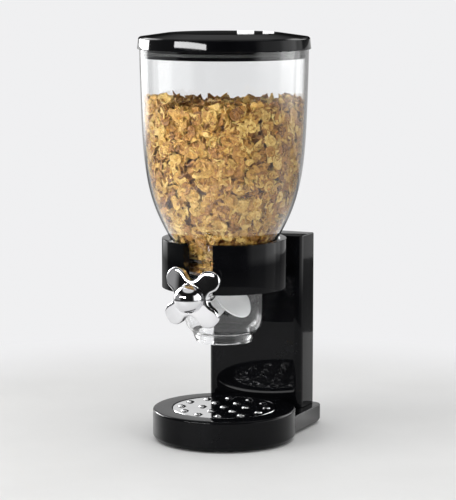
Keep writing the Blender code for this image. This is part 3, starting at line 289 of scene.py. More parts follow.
# Room seen in mirrors: (compass angle, brightness), and bands as (start, end, below, above)
SOFT_LIGHT = 0.70
ROOM_LEVEL = 0.01
BRIGHTEST = 5.0
SIDE_WINDOWS = (
    (-180.0, 0.0), (-134.0, 0.0), (-130.0, 2.2), (-107.0, 2.2), (-102.0, 0.25),
    (-44.0, 0.28), (-38.0, 0.0), (60.0, 0.0), (66.0, 0.1), (78.0, 1.5),
    (104.0, 1.9), (112.0, 3.6), (132.0, 3.6), (138.0, 1.5), (148.0, 1.3),
    (153.0, 0.15), (180.0, 0.0),
)
SIDE_BANDS = ((0.40, 0.52, 1.0, 0.0), (-0.13, -0.07, 0.16, 1.0))
BACK_WALL = (
    (-180.0, 0.15), (-135.0, 0.15), (-128.0, 5.0), (-98.0, 5.0), (-90.0, 0.0),
    (134.0, 0.0), (142.0, 5.0), (170.0, 5.0), (177.0, 0.15), (180.0, 0.15),
)
BACK_WALL_BANDS = ((0.60, 0.70, 1.0, 0.1), (0.16, 0.30, 0.0, 1.0))
BACKDROP = ((-180.0, 0.13), (-136.0, 0.13), (-132.0, 0.0), (150.0, 0.0), (154.0, 0.12), (180.0, 0.13))
BACKDROP_BANDS = ((0.0, 0.04, 1.0, 0.0),)
CEILING_BAND = (0.80, 0.86, ROOM_LEVEL, 0.7)
COUNTER_BAND = (-0.40, -0.14, 0.45, 0.0)

# Lights: name, place, aim, width and height in metres, and watts
LAMPS = (
    ("key", (-1.4, -1.4, 2.1), (0, 0, 0.2), 1.7, 1.7, 21.0),
    ("side", (1.7, -0.9, 1.6), (0, 0, 0.15), 1.4, 1.4, 9.0),
    ("fill", (-0.7, -1.4, 0.30), (0, 0, 0.15), 0.8, 0.5, 6.0),
    ("fill_right", (1.3, -0.8, 0.22), (0, 0, 0.15), 0.6, 0.4, 6.0),
    ("top", (0.1, 0.1, 2.1), (0, 0, 0), 1.6, 1.6, 11.0),
)
WINDOWS = (
    ("window_front", (-0.42, -1.16, 0.552), (0, 0, 0.552), 1.0, 0.09, 20.0),
    ("window_left", (-1.17, 0.36, 0.44), (0, 0, 0.44), 0.75, 0.12, 9.5),
    ("backdrop", (0.0, 1.0, 0.23), (0, 0, 0.23), 2.6, 0.32, 1.65),
    ("window_back_1", (-0.396, 0.917, 0.37), (0.036, 0.017, 0.37), 0.024, 0.14, 0.021),
    ("window_back_2", (-0.366, 0.930, 0.37), (0.064, 0.029, 0.37), 0.016, 0.14, 0.014),
)

# Camera, fitted to the photo's edges
CAMERA_PLACE = (854.4, -1839.1, 471.6)
CAMERA_FORWARD = (-0.4172, 0.8980, -0.1397)
CAMERA_SENSOR = 36.0
CAMERA_LENS = 152.37
CAMERA_SHIFT = 0.00776

rng = np.random.default_rng(7)


# Meshes, all written in mm about the canister's axis and placed in metres
def to_metres(points):
    places = np.asarray(points, float).reshape(-1, 3).copy()
    places[:, 1] += AXIS_Y
    return places * MM


def link(name, data):
    item = bpy.data.objects.new(name, data)
    bpy.context.scene.collection.objects.link(item)
    return item


def shade(data):
    data.shade_smooth()
    data.set_sharp_from_angle(angle=SHARP_ANGLE)


def new_mesh(name, points, faces):
    data = bpy.data.meshes.new(name)
    data.from_pydata([tuple(p) for p in to_metres(points)], [], [tuple(f) for f in faces])
    return data


def add_mesh(name, points, faces):
    data = new_mesh(name, points, faces)
    mesh = bmesh.new()
    mesh.from_mesh(data)
    bmesh.ops.recalc_face_normals(mesh, faces=mesh.faces)
    mesh.to_mesh(data)
    mesh.free()
    shade(data)
    return link(name, data)


def bezier(points, steps):
    t = np.linspace(0.0, 1.0, steps + 1)[:, None]
    a, b, c, d = (np.array(p, float) for p in points)
    return (1 - t) ** 3 * a + 3 * t * (1 - t) ** 2 * b + 3 * t**2 * (1 - t) * c + t**3 * d


def rounded_corner(here, before, after, radius, steps):
    """Points of the arc that rounds a corner between two unit directions."""
    half = math.acos(np.clip(before @ after, -1, 1)) / 2
    if half < SHARPEST_HALF_ANGLE or half > STRAIGHT_HALF_ANGLE:
        return [tuple(here)]
    reach = radius / math.tan(half)
    middle = before + after
    centre = here + middle / np.linalg.norm(middle) * radius / math.sin(half)
    start = here + before * reach - centre
    end = here + after * reach - centre
    first = math.atan2(start[1], start[0])
    turn = math.atan2(end[1], end[0]) - first
    turn = (turn + math.pi) % (2 * math.pi) - math.pi
    angles = [first + turn * step / steps for step in range(steps + 1)]
    return [(centre[0] + radius * math.cos(a), centre[1] + radius * math.sin(a)) for a in angles]


def fillet(corners, steps=6):
    """Rounds a polyline: each corner is (radius, height) or (radius, height, rounding)."""
    spots = [np.array(corner[:2], float) for corner in corners]
    out = [tuple(spots[0])]
    for index in range(1, len(corners) - 1):
        here = spots[index]
        if len(corners[index]) < 3:
            out.append(tuple(here))
            continue
        before = spots[index - 1] - here
        after = spots[index + 1] - here
        before /= np.linalg.norm(before)
        after /= np.linalg.norm(after)
        out += rounded_corner(here, before, after, corners[index][2], steps)
    out.append(tuple(spots[-1]))
    return out


def turned_parts(profile, steps, closed=True):
    """Points and faces of a profile of (radius, height) turned about +Z."""
    points, faces, rings = [], [], []
    for radius, height in profile:
        if radius < ON_AXIS:
            rings.append([len(points)])
            points.append((0.0, 0.0, height))
            continue
        rings.append(list(range(len(points), len(points) + steps)))
        for step in range(steps):
            angle = 2 * math.pi * step / steps
            points.append((radius * math.cos(angle), radius * math.sin(angle), height))
    nexts = rings[1:] + rings[:1] if closed else rings[1:]
    for low, high in zip(rings, nexts):
        if len(low) == 1 and len(high) == 1:
            continue
        for step in range(steps):
            after = (step + 1) % steps
            face = [low[step % len(low)], high[step % len(high)]]
            if len(high) > 1:
                face.append(high[after])
            if len(low) > 1:
                face.append(low[after])
            faces.append(face)
    return points, faces


def placed(points, matrix):
    """Points after a turn or a move, or as they are."""
    if matrix is None:
        return points
    return [tuple(matrix @ Vector(p)) for p in points]


def along_y(x=0.0, z=SHAFT_Z):
    """Lays a turned shape down, so that its heights run from front to rear."""
    return Matrix.Translation((x, 0, z)) @ Matrix.Rotation(math.radians(-90), 4, "X")


def turned(name, profile, steps, matrix=None):
    points, faces = turned_parts(profile, steps)
    return add_mesh(name, placed(points, matrix), faces)


def cylinder(name, radius, start, end, steps, matrix=None):
    return turned(name, [(0, start), (radius, start), (radius, end), (0, end)], steps, matrix)


def ring_faces(low, high, size):
    """Faces between two rings whose points start at the numbers low and high."""
    faces = []
    for step in range(size):
        after = (step + 1) % size
        faces.append((low + step, low + after, high + after, high + step))
    return faces


def stacked(name, levels, matrix=None):
    """A closed shape from levels of (height, outline) with equally many points each."""
    points, faces = [], []
    size = len(levels[0][1])
    for height, outline in levels:
        points += [(x, y, height) for x, y in outline]
    top = (len(levels) - 1) * size
    for low in range(0, top, size):
        faces += ring_faces(low, low + size, size)
    faces.append(tuple(range(size)))
    faces.append(tuple(range(top, top + size)))
    return add_mesh(name, placed(points, matrix), faces)


def box(name, low, high, matrix=None):
    (x0, y0, z0), (x1, y1, z1) = low, high
    outline = [(x0, y0), (x1, y0), (x1, y1), (x0, y1)]
    return stacked(name, [(z0, outline), (z1, outline)], matrix)


def point_at(distance, degrees):
    angle = math.radians(degrees)
    return distance * math.cos(angle), distance * math.sin(angle)


def arc(centre, radius, start, end, steps):
    angles = np.radians(np.linspace(start, end, steps + 1))
    return [(centre[0] + radius * math.cos(a), centre[1] + radius * math.sin(a)) for a in angles]


def rounded_box(half, front, rear, front_corner, rear_corner, steps=12):
    """Outline of a block from its half width, front and rear, with round corners."""
    return (
        arc((half - front_corner, front + front_corner), front_corner, -90, 0, steps)
        + arc((half - rear_corner, rear - rear_corner), rear_corner, 0, 90, steps)
        + arc((rear_corner - half, rear - rear_corner), rear_corner, 90, 180, steps)
        + arc((front_corner - half, front + front_corner), front_corner, 180, 270, steps)
    )


def rounded_edge(outline_at, height, rounding, steps=5):
    """Levels from the straight side to an upper edge. A rounding below 0 is for a lower edge."""
    levels = []
    for step in range(steps + 1):
        angle = math.pi / 2 * step / steps
        inset = abs(rounding) * (1 - math.cos(angle))
        levels.append((height - rounding * (1 - math.sin(angle)), outline_at(inset)))
    return levels


def settle(target, *used):
    """Makes the target's modifiers real and removes the meshes they used."""
    graph = bpy.context.evaluated_depsgraph_get()
    graph.update()
    result = bpy.data.meshes.new_from_object(target.evaluated_get(graph), depsgraph=graph)
    target.modifiers.clear()
    old = target.data
    target.data = result
    bpy.data.meshes.remove(old)
    for item in used:
        bpy.data.objects.remove(item, do_unlink=True)
    shade(target.data)


def combine(target, operation, other):
    modifier = target.modifiers.new("combine", "BOOLEAN")
    modifier.operation = operation
    modifier.solver = "MANIFOLD"
    modifier.object = other
    settle(target, other)


def add(target, other):
    combine(target, "UNION", other)


def cut(target, other):
    combine(target, "DIFFERENCE", other)


def soften_edges(item, width, segments, angle):
    modifier = item.modifiers.new("edges", "BEVEL")
    modifier.width = width * MM
    modifier.segments = segments
    modifier.limit_method = "ANGLE"
    modifier.angle_limit = math.radians(angle)
    modifier.use_clamp_overlap = True
    settle(item)


def join_all(name, parts):
    mesh = bmesh.new()
    for part in parts:
        mesh.from_mesh(part.data)
        bpy.data.objects.remove(part, do_unlink=True)
    data = bpy.data.meshes.new(name)
    mesh.to_mesh(data)
    mesh.free()
    shade(data)
    return link(name, data)


# Materials
def set_inputs(tree, node, settings):
    """Gives a node's inputs numbers, colours or the outputs of other nodes."""
    for name, value in settings.items():
        if isinstance(value, bpy.types.NodeSocket):
            tree.links.new(value, node.inputs[name])
        else:
            node.inputs[name].default_value = value


def add_node(tree, kind, settings):
    node = tree.nodes.new(kind)
    set_inputs(tree, node, settings)
    return node


def new_material(name):
    material = bpy.data.materials.new(name)
    material.use_nodes = True
    return material, material.node_tree


def set_shader(material, settings):
    tree = material.node_tree
    set_inputs(tree, tree.nodes["Principled BSDF"], settings)
    return material


def math_node(tree, operation, *values):
    node = add_node(tree, "ShaderNodeMath", dict(enumerate(values)))
    node.operation = operation
    return node.outputs["Value"]


def noise_node(tree, scale, detail, roughness=0.55):
    place = tree.nodes.new("ShaderNodeTexCoord").outputs["Object"]
    settings = {"Vector": place, "Scale": scale, "Detail": detail, "Roughness": roughness}
    return add_node(tree, "ShaderNodeTexNoise", settings).outputs["Fac"]


def spread(tree, value, low, high, start=0.3, end=0.7):
    """Maps a value from start to end onto low to high. A noise mostly lies within 0.3 to 0.7."""
    settings = {"Value": value, "From Min": start, "From Max": end, "To Min": low, "To Max": high}
    return add_node(tree, "ShaderNodeMapRange", settings).outputs["Result"]


def ramp(tree, value, stops):
    node = add_node(tree, "ShaderNodeValToRGB", {"Fac": value})
    elements = node.color_ramp.elements
    while len(elements) < len(stops):
        elements.new(0.5)
    for element, (position, colour) in zip(elements, stops):
        element.position = position
        element.color = (*colour, 1.0)
    return node.outputs["Color"]


def bump(tree, height, strength, depth):
    settings = {"Height": height, "Strength": strength, "Distance": depth * MM}
    return add_node(tree, "ShaderNodeBump", settings).outputs["Normal"]


def mix_shaders(tree, share, first, second):
    return add_node(tree, "ShaderNodeMixShader", {0: share, 1: first, 2: second}).outputs["Shader"]


def surface(name, tones, clouds, roughness, smears, grain, relief):
    """A material with some noise in its colour, its gloss and its grain.

    Tones are the colours at two levels of the clouds. Clouds, smears and grain are each a
    noise's scale and detail, and relief is the grain's strength and depth in mm.
    """
    material, tree = new_material(name)
    settings = {
        "Base Color": ramp(tree, noise_node(tree, *clouds), tones),
        "Roughness": spread(tree, noise_node(tree, *smears), *roughness),
        "Normal": bump(tree, noise_node(tree, *grain), *relief),
    }
    return set_shader(material, settings)


def plastic(name, dark, light, roughness, grain, depth):
    tones = ((0.35, dark), (0.70, light))
    return surface(name, tones, (35.0, 4.0), roughness, (55.0, 5.0), (grain, 2.0), (0.25, depth))


def gloss_black():
    dark = (0.0018, 0.0019, 0.0023)
    light = (0.0032, 0.0033, 0.0040)
    material = plastic("gloss_black_look", dark, light, (0.03, 0.07), 260.0, 0.01)
    return set_shader(material, {"Specular IOR Level": 0.115})


def satin_black():
    dark = (0.014, 0.014, 0.015)
    light = (0.024, 0.024, 0.026)
    return plastic("satin_black_look", dark, light, (0.34, 0.48), 1800.0, 0.05)


def rubber():
    dark = (0.014, 0.014, 0.014)
    light = (0.026, 0.026, 0.026)
    return plastic("rubber_look", dark, light, (0.75, 0.92), 1400.0, 0.08)


def white_plastic():
    dark = (0.72, 0.72, 0.71)
    light = (0.80, 0.80, 0.79)
    return plastic("white_plastic_look", dark, light, (0.30, 0.42), 900.0, 0.03)


def metal(name, dark, light, roughness, depth):
    tones = ((0.3, dark), (0.7, light))
    material = surface(name, tones, (40.0, 4.0), roughness, (90.0, 6.0), (500.0, 3.0), (0.15, depth))
    return set_shader(material, {"Metallic": 1.0})


def chrome():
    return metal("chrome_look", (0.80, 0.80, 0.82), (0.88, 0.88, 0.90), (0.02, 0.06), 0.004)


def tray_mirror():
    return metal("tray_look", (0.80, 0.80, 0.81), (0.88, 0.88, 0.89), (0.03, 0.09), 0.006)


def steel():
    return metal("steel_look", (0.46, 0.46, 0.47), (0.60, 0.60, 0.61), (0.25, 0.40), 0.02)


def silicone():
    tones = ((0.3, (0.90, 0.90, 0.895)), (0.7, (0.95, 0.95, 0.945)))
    roughness = (0.34, 0.50)
    material = surface(
        "silicone_look", tones, (60.0, 3.0), roughness, (120.0, 4.0), (700.0, 2.0), (0.2, 0.03)
    )
    soft = {
        "Subsurface Weight": 0.35,
        "Subsurface Radius": (1.0, 1.0, 1.0),
        "Subsurface Scale": 1.5 * MM,
    }
    return set_shader(material, soft)


def clear(name, face_on, painted_edge_shade, roughness):
    """Clear plastic whose colour is darkened where the wall is seen edge-on, a painted shade for the
    dark edges of a thick wall, and which hardly stops the lamps.
    """
    material, tree = new_material(name)
    nodes = tree.nodes
    facing = add_node(tree, "ShaderNodeLayerWeight", {"Blend": 0.5}).outputs["Facing"]
    settings = {
        # Painted shade: the colour darkens towards the edge colour where the wall turns away from the
        # eye
        "Base Color": ramp(tree, facing, ((0.0, face_on), (0.74, face_on), (0.85, painted_edge_shade))),
        "Roughness": spread(tree, noise_node(tree, 30.0, 4.0), *roughness),
        "Normal": bump(tree, noise_node(tree, 45.0, 2.0), 0.10, 0.02),
        "Transmission Weight": 1.0,
        "IOR": 1.49,
        "Specular IOR Level": 0.20,
    }
    set_shader(material, settings)
    lamps = nodes.new("ShaderNodeLightPath").outputs["Is Shadow Ray"]
    through = add_node(tree, "ShaderNodeBsdfTransparent", {"Color": (0.93, 0.94, 0.94, 1.0)})
    solid = nodes["Principled BSDF"].outputs["BSDF"]
    mix = mix_shaders(tree, lamps, solid, through.outputs["BSDF"])
    set_inputs(tree, nodes["Material Output"], {"Surface": mix})
    return material


def clear_canister():
    # Painted shade at the canister's edges, tinted warm as a painted reflection of the cereal
    return clear("canister_look", (0.985, 0.99, 0.99), (0.12, 0.105, 0.095), (0.0, 0.03))


def clear_cup():
    # Painted shade at the cup's edges, a light grey
    return clear("cup_look", (0.985, 0.987, 0.99), (0.70, 0.70, 0.72), (0.02, 0.07))


def cereal_look():
    material, tree = new_material("cereal_look")
    tone = tree.nodes.new("ShaderNodeAttribute")
    tone.attribute_name = "tone"
    blister = noise_node(tree, 320.0, 4.0, 0.65)
    paleness = math_node(tree, "MULTIPLY_ADD", blister, 0.55, tone.outputs["Fac"])
    stops = (
        (0.10, (0.11, 0.036, 0.008)),
        (0.32, (0.35, 0.155, 0.026)),
        (0.56, (0.52, 0.295, 0.058)),
        (0.90, (0.80, 0.580, 0.210)),
    )
    settings = {
        "Base Color": ramp(tree, paleness, stops),
        "Roughness": spread(tree, blister, 0.45, 0.75),
        "Normal": bump(tree, blister, 1.0, 1.3),
        "Subsurface Weight": 0.12,
        "Subsurface Radius": (1.0, 0.6, 0.3),
        "Subsurface Scale": 1.2 * MM,
    }
    return set_shader(material, settings)


def dress(item, material, body, nodes=()):
    item.data.materials.clear()
    item.data.materials.append(material)
    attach(item, body)
    if nodes:
        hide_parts(*nodes)


def paint(material, *nodes):
    """Gives a look to pieces of the CAD model that are shown as they are."""
    for node in nodes:
        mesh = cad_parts[node].data
        mesh.materials.clear()
        mesh.materials.append(material)


# Canister
def funnel_radius(height):
    return FUNNEL_FOOT[0] + FUNNEL_SLOPE * (height - FUNNEL_FOOT[1])


def funnel_height(radius):
    return FUNNEL_FOOT[1] + (radius - FUNNEL_FOOT[0]) / FUNNEL_SLOPE


def canister_curve(inset):
    return [(r - inset, z) for r, z in bezier(CANISTER_CURVE, 40)]


def inner_wall():
    """Heights of the canister's inside and its radius at each, from the bottom up."""
    curve = np.array([(RIM_RADIUS - CANISTER_WALL, RIM_Z)] + canister_curve(CANISTER_WALL))
    spigot_top = (SPIGOT_INNER_RADIUS, funnel_height(SPIGOT_RADIUS))
    spigot = np.array([spigot_top, (SPIGOT_INNER_RADIUS, INNER_WALL_END_Z)])
    table = np.vstack([curve, spigot])[::-1]
    return table[:, 1], table[:, 0]


INNER_WALL = inner_wall()


def canister_profile(shoulder_z):
    low = RIM_Z - RIM_DEPTH
    inside = RIM_RADIUS - CANISTER_WALL
    rim = [(RIM_RADIUS - RIM_FLARE, low), (RIM_RADIUS, RIM_Z, RIM_EDGE), (inside, RIM_Z, RIM_EDGE)]
    foot = [
        (funnel_radius(FUNNEL_END_Z), FUNNEL_END_Z),
        (SHOULDER_RADIUS, shoulder_z, 0.5),
        (SPIGOT_RADIUS, shoulder_z, 0.4),
        (SPIGOT_RADIUS, SPIGOT_BOTTOM_Z, 0.4),
        (SPIGOT_INNER_RADIUS, SPIGOT_BOTTOM_Z, 0.5),
        (SPIGOT_INNER_RADIUS, funnel_height(SPIGOT_RADIUS), 3.0),
        (funnel_radius(FUNNEL_END_Z) - CANISTER_WALL, FUNNEL_END_Z),
    ]
    down = canister_curve(CANISTER_WALL) + fillet(foot)[::-1]
    return fillet(rim + [(inside, low)]) + down + canister_curve(0)[::-1]


def make_canister(material):
    shoulder_z = funnel_height(SHOULDER_RADIUS)
    canister = turned("canister_wall", canister_profile(shoulder_z), steps=160)
    low = (LUG_ROOT_RADIUS, -LUG_HALF_WIDTH, LUG_BOTTOM_Z)
    high = (LUG_RADIUS, LUG_HALF_WIDTH, shoulder_z + FIT)
    for turn in LUG_TURNS:
        add(canister, box("lug", low, high, turn))
    dress(canister, material, "hopper", ["canister"])


# Spout cup
def cup_mouth(ledge_end):
    throat = CUP_MOUTH_RADIUS - CUP_WALL
    lip = [
        (CUP_MOUTH_RADIUS, CUP_MOUTH_Z, 0.6),
        (throat, CUP_MOUTH_Z, 0.8),
        (throat, CUP_LEDGE_Z - CUP_LEDGE_DIP, 1.0),
        (throat + CUP_LEDGE_WIDTH, CUP_LEDGE_Z, 0.8),
    ]
    return fillet([*CUP_NECK, *lip, ledge_end])


def cup_profile():
    top = funnel_height(SHOULDER_RADIUS) - FIT
    floor = SPIGOT_BOTTOM_Z - FIT
    seam = (CUP_SEAM_RADIUS, top)
    bowl_top = CUP_CURVE[0][1] + 1.0
    socket_outside = [
        seam,
        (CUP_SOCKET_RADIUS, top, 0.4),
        (CUP_SOCKET_RADIUS, CUP_SOCKET_BOTTOM_Z, 2.0),
        (CUP_RADIUS, CUP_SHOULDER_Z, 2.0),
        (CUP_RADIUS, bowl_top),
    ]
    socket_inside = [
        (SPIGOT_INNER_RADIUS, bowl_top),
        (SPIGOT_INNER_RADIUS, floor, 0.4),
        (SPIGOT_RADIUS + FIT, floor, 0.3),
        (SPIGOT_RADIUS + FIT, top, 0.4),
        seam,
    ]
    outer = bezier(CUP_CURVE, 24)
    inner = [(r - CUP_WALL, z) for r, z in outer if z > CUP_LEDGE_Z][::-1]
    outside = fillet(socket_outside) + [tuple(p) for p in outer]
    inside = inner[1:] + fillet(socket_inside)[1:-1]
    return outside + cup_mouth(inner[0]) + inside


def cup_bosses():
    """Lying profiles of the bosses in front and behind."""
    root = CUP_RADIUS - OVERLAP
    front = [(0, BOSS_FRONT_Y), (BOSS_RADIUS, BOSS_FRONT_Y, 0.8), (BOSS_RADIUS, -root), (0, -root)]
    rear_end = REAR_BOSS_END_Y
    rear = [(0, root), (REAR_BOSS_RADIUS, root), (REAR_BOSS_RADIUS, rear_end, 1.0), (0, rear_end)]
    return fillet(front), fillet(rear)


def make_cup(material):
    cup = turned("cup_shell", cup_profile(), steps=144)
    for boss in cup_bosses():
        add(cup, turned("boss", boss, steps=64, matrix=along_y()))
    lying = along_y()
    cut(cup, cylinder("bush_hole", BUSH_HOLE_RADIUS, BUSH_HOLE_START_Y, 0, steps=64, matrix=lying))
    cut(cup, cylinder("shaft_hole", SHAFT_HOLE_RADIUS, 0, SHAFT_HOLE_END_Y, steps=48, matrix=lying))
    half = LUG_HALF_WIDTH + FIT
    for turn in LUG_TURNS:
        low = (LUG_ROOT_RADIUS, -half, SLOT_BOTTOM_Z)
        cut(cup, box("slot", low, (SLOT_REACH[0], half, SLOT_REACH[1]), turn))
    dress(cup, material, "hopper", ["spout_cup"])


# Lid
def make_lid_cap(material):
    under = LID_TOP_Z - LID_TOP_WALL
    corners = [
        (0, LID_TOP_Z),
        (LID_FLAT_RADIUS, LID_TOP_Z, 30.0),
        (*LID_SHOULDER, 1.2),
        (*LID_EDGE, 1.6),
        (LID_RADIUS, LID_BOTTOM_Z, 0.7),
        (LID_SKIRT_RADIUS, LID_BOTTOM_Z, 0.4),
        (LID_SKIRT_RADIUS, LID_CEILING_Z, 0.5),
        (PLUG_RADIUS, LID_CEILING_Z),
        (LID_FLAT_RADIUS, under),
        (0, under),
    ]
    cap = turned("lid_top", fillet(corners, 10), steps=192)
    dress(cap, material, "lid", ["lid_cap"])


def make_lid_plug(material):
    top = LID_CEILING_Z - FIT
    rest = RIM_Z + FIT
    flange = LID_SKIRT_RADIUS - FIT
    groove_top = SEAL_Z + GROOVE_HALF_HEIGHT
    groove_bottom = SEAL_Z - GROOVE_HALF_HEIGHT
    inside = PLUG_RADIUS - PLUG_WALL
    corners = [
        (0, top),
        (flange, top, 0.5),
        (flange, rest, 0.4),
        (PLUG_RADIUS, rest, 0.6),
        (PLUG_RADIUS, groove_top, 0.3),
        (GROOVE_RADIUS, groove_top),
        (GROOVE_RADIUS, groove_bottom),
        (PLUG_RADIUS, groove_bottom, 0.3),
        (PLUG_RADIUS, PLUG_BOTTOM_Z, 0.9),
        (inside, PLUG_BOTTOM_Z, 0.9),
        (inside, rest, 1.0),
        (0, rest),
    ]
    plug = turned("lid_skirt", fillet(corners), steps=160)
    dress(plug, material, "lid", ["lid_plug"])


def make_lid_seal(material):
    corners = [
        (SEAL_ROOT_RADIUS, SEAL_Z - SEAL_HALF_HEIGHT),
        (SEAL_LIP_RADIUS, SEAL_Z - SEAL_LIP_RISE, 0.2),
        (SEAL_RADIUS, SEAL_Z, 0.5),
        (SEAL_LIP_RADIUS, SEAL_Z + SEAL_LIP_RISE, 0.2),
        (SEAL_ROOT_RADIUS, SEAL_Z + SEAL_HALF_HEIGHT),
    ]
    seal = turned("lid_gasket", fillet(corners), steps=144)
    dress(seal, material, "lid", ["lid_seal"])


# Base and tray
def block_outline(inset):
    corner = BLOCK_CORNER - inset
    return rounded_box(BLOCK_HALF_WIDTH - inset, 0, BLOCK_REAR_Y - inset, corner, corner)


def make_base(material):
    corners = [
        (0, BASE_BOTTOM_Z),
        (DISC_RADIUS - BASE_TUCK, BASE_BOTTOM_Z, 0.5),
        (DISC_RADIUS, BASE_TUCK_Z, 1.6),
        (DISC_RADIUS, DISC_TOP_Z, 2.2),
        (WELL_RADIUS, DISC_TOP_Z, 0.5),
        (WELL_RADIUS, WELL_Z, 0.4),
        (0, WELL_Z),
    ]
    base = turned("base_body", fillet(corners, 8), steps=192)
    foot = [(BASE_BOTTOM_Z, block_outline(BASE_TUCK)), (BASE_TUCK_Z, block_outline(0))]
    add(base, stacked("block", foot + rounded_edge(block_outline, BLOCK_TOP_Z, BLOCK_EDGE)))
    low = BASE_CUT_START_Z
    cut(base, cylinder("hollow", DISC_RADIUS - BASE_WALL, low, WELL_Z - DISC_ROOF, steps=128))
    inner = block_outline(BASE_WALL)
    cut(base, stacked("block_hollow", [(low, inner), (BLOCK_TOP_Z - BLOCK_ROOF, inner)]))
    dress(base, material, "stand", ["base_shell"])


def bump_places():
    places = [(0.0, 0.0)]
    for radius, count in BUMP_RINGS:
        places += [point_at(radius, BUMP_PHASE + 360.0 * index / count) for index in range(count)]
    return places


def tray_surface(x, y, radius):
    """Heights of the tray's upper face: flat, round at the edge, with a cap for each bump."""
    over = radius - TRAY_FLAT_RADIUS
    top = TRAY_TOP_Z - np.where(over > 0, over**2 * TRAY_EDGE_FALL, 0.0)
    sunk = BUMP_SPHERE - BUMP_HEIGHT
    for bump_x, bump_y in bump_places():
        inside = np.clip(BUMP_RADIUS**2 - (x - bump_x) ** 2 - (y - bump_y) ** 2, 0, None)
        top = top + np.where(inside > 0, np.sqrt(inside + sunk**2) - sunk, 0.0)
    return top


def make_tray(material):
    size = TRAY_STEPS
    angles = 2 * np.pi * np.arange(size) / size
    rings = np.concatenate([TRAY_FACE_RINGS, TRAY_EDGE_RINGS])
    radius, angle = np.meshgrid(rings, angles, indexing="ij")
    x = radius * np.cos(angle)
    y = radius * np.sin(angle)
    top = tray_surface(x, y, radius)
    points = [(0.0, 0.0, TRAY_TOP_Z + BUMP_HEIGHT)] + list(zip(x.ravel(), y.ravel(), top.ravel()))
    skirt = TRAY_RADIUS - TRAY_RIM_WIDTH
    under = ((TRAY_RADIUS, TRAY_BOTTOM_Z), (skirt, TRAY_BOTTOM_Z), (skirt, TRAY_TOP_Z - TRAY_SKIN))
    for edge, height in under:
        points += [(edge * math.cos(a), edge * math.sin(a), height) for a in angles]
    faces = [(0, 1 + step, 1 + (step + 1) % size) for step in range(size)]
    last = len(points) - size
    for low in range(1, last, size):
        faces += ring_faces(low, low + size, size)
    faces.append(tuple(range(last, last + size)))
    tray = add_mesh("tray_disc", points, faces)
    dress(tray, material, "tray", ["crumb_tray"])


# Column and rear cover
def column_outline(inset):
    return rounded_box(
        COLUMN_HALF_WIDTH - inset,
        COLUMN_FRONT_Y + inset,
        COLUMN_REAR_Y - inset,
        COLUMN_FRONT_CORNER - inset,
        COLUMN_REAR_CORNER - inset,
        16,
    )


def column_box(name, inset, front, rear):
    """A box between two depths that stays inside the column's sides, foot and top."""
    half = COLUMN_HALF_WIDTH - inset
    low, high = COLUMN_BOTTOM_Z + inset, COLUMN_TOP_Z - inset
    return box(name, (-half, front, low), (half, rear, high))


def cover_screw_places():
    heights = (COLUMN_BOTTOM_Z + COVER_SCREW_INSET, COLUMN_TOP_Z - COVER_SCREW_INSET)
    return [(x, z) for x in (-COVER_SCREW_X, COVER_SCREW_X) for z in heights]


def make_column(material):
    low = rounded_edge(column_outline, COLUMN_BOTTOM_Z, -COLUMN_EDGES[0])[::-1]
    high = rounded_edge(column_outline, COLUMN_TOP_Z, COLUMN_EDGES[1])
    column = stacked("column_body", low + high)
    beside = COLUMN_WALL - COVER_LEDGE
    ledge = COLUMN_REAR_Y - COVER_THICKNESS - FIT
    cut(column, column_box("rebate", beside, ledge, REBATE_CUT_END_Y))
    inner_front = COLUMN_FRONT_Y + COLUMN_WALL
    cut(column, column_box("inside", COLUMN_WALL, inner_front, COLUMN_CUT_END_Y))
    dress(column, material, "stand", ["column_shell"])


def make_rear_cover(material):
    inset = COLUMN_WALL - COVER_LEDGE + FIT
    cover = column_box("rear_panel", inset, COLUMN_REAR_Y - COVER_THICKNESS, COLUMN_REAR_Y)
    floor = COLUMN_REAR_Y - SCREW_POCKET_DEPTH
    end = COLUMN_CUT_END_Y
    for x, z in cover_screw_places():
        lying = along_y(x, z)
        cut(cover, cylinder("pocket", SCREW_HEAD_RADIUS + FIT, floor, end, steps=48, matrix=lying))
        start = COVER_CUT_START_Y
        cut(cover, cylinder("hole", SCREW_SHANK_RADIUS + FIT, start, end, steps=32, matrix=lying))
    soften_edges(cover, COVER_EDGE, 3, 40)
    dress(cover, material, "stand", ["rear_cover"])


# Collar
def collar_profile():
    gap = FIT * math.hypot(1.0, FUNNEL_SLOPE)
    return [
        (COLLAR_INNER_RADIUS, COLLAR_BOTTOM_Z),
        (COLLAR_RADIUS, COLLAR_BOTTOM_Z),
        (COLLAR_RADIUS, COLLAR_TOP_Z),
        (funnel_radius(COLLAR_TOP_Z) + gap, COLLAR_TOP_Z),
        (COLLAR_INNER_RADIUS, funnel_height(COLLAR_INNER_RADIUS - gap)),
    ]


def channel_outlines():
    """Outlines of the hollows in the collar's right and left arms, from notch to neck."""
    inner = COLLAR_INNER_RADIUS + COLLAR_WALL
    outer = COLLAR_RADIUS - COLLAR_WALL
    start = math.degrees(math.asin((NOTCH_HALF_WIDTH + COLLAR_WALL) / inner)) - 90.0
    end = 90.0 - math.degrees(math.asin((NECK_HALF_WIDTH + COLLAR_WALL) / inner))
    right = arc((0, 0), outer, start, end, 48) + arc((0, 0), inner, end, start, 48)
    return right, [(-x, y) for x, y in right]


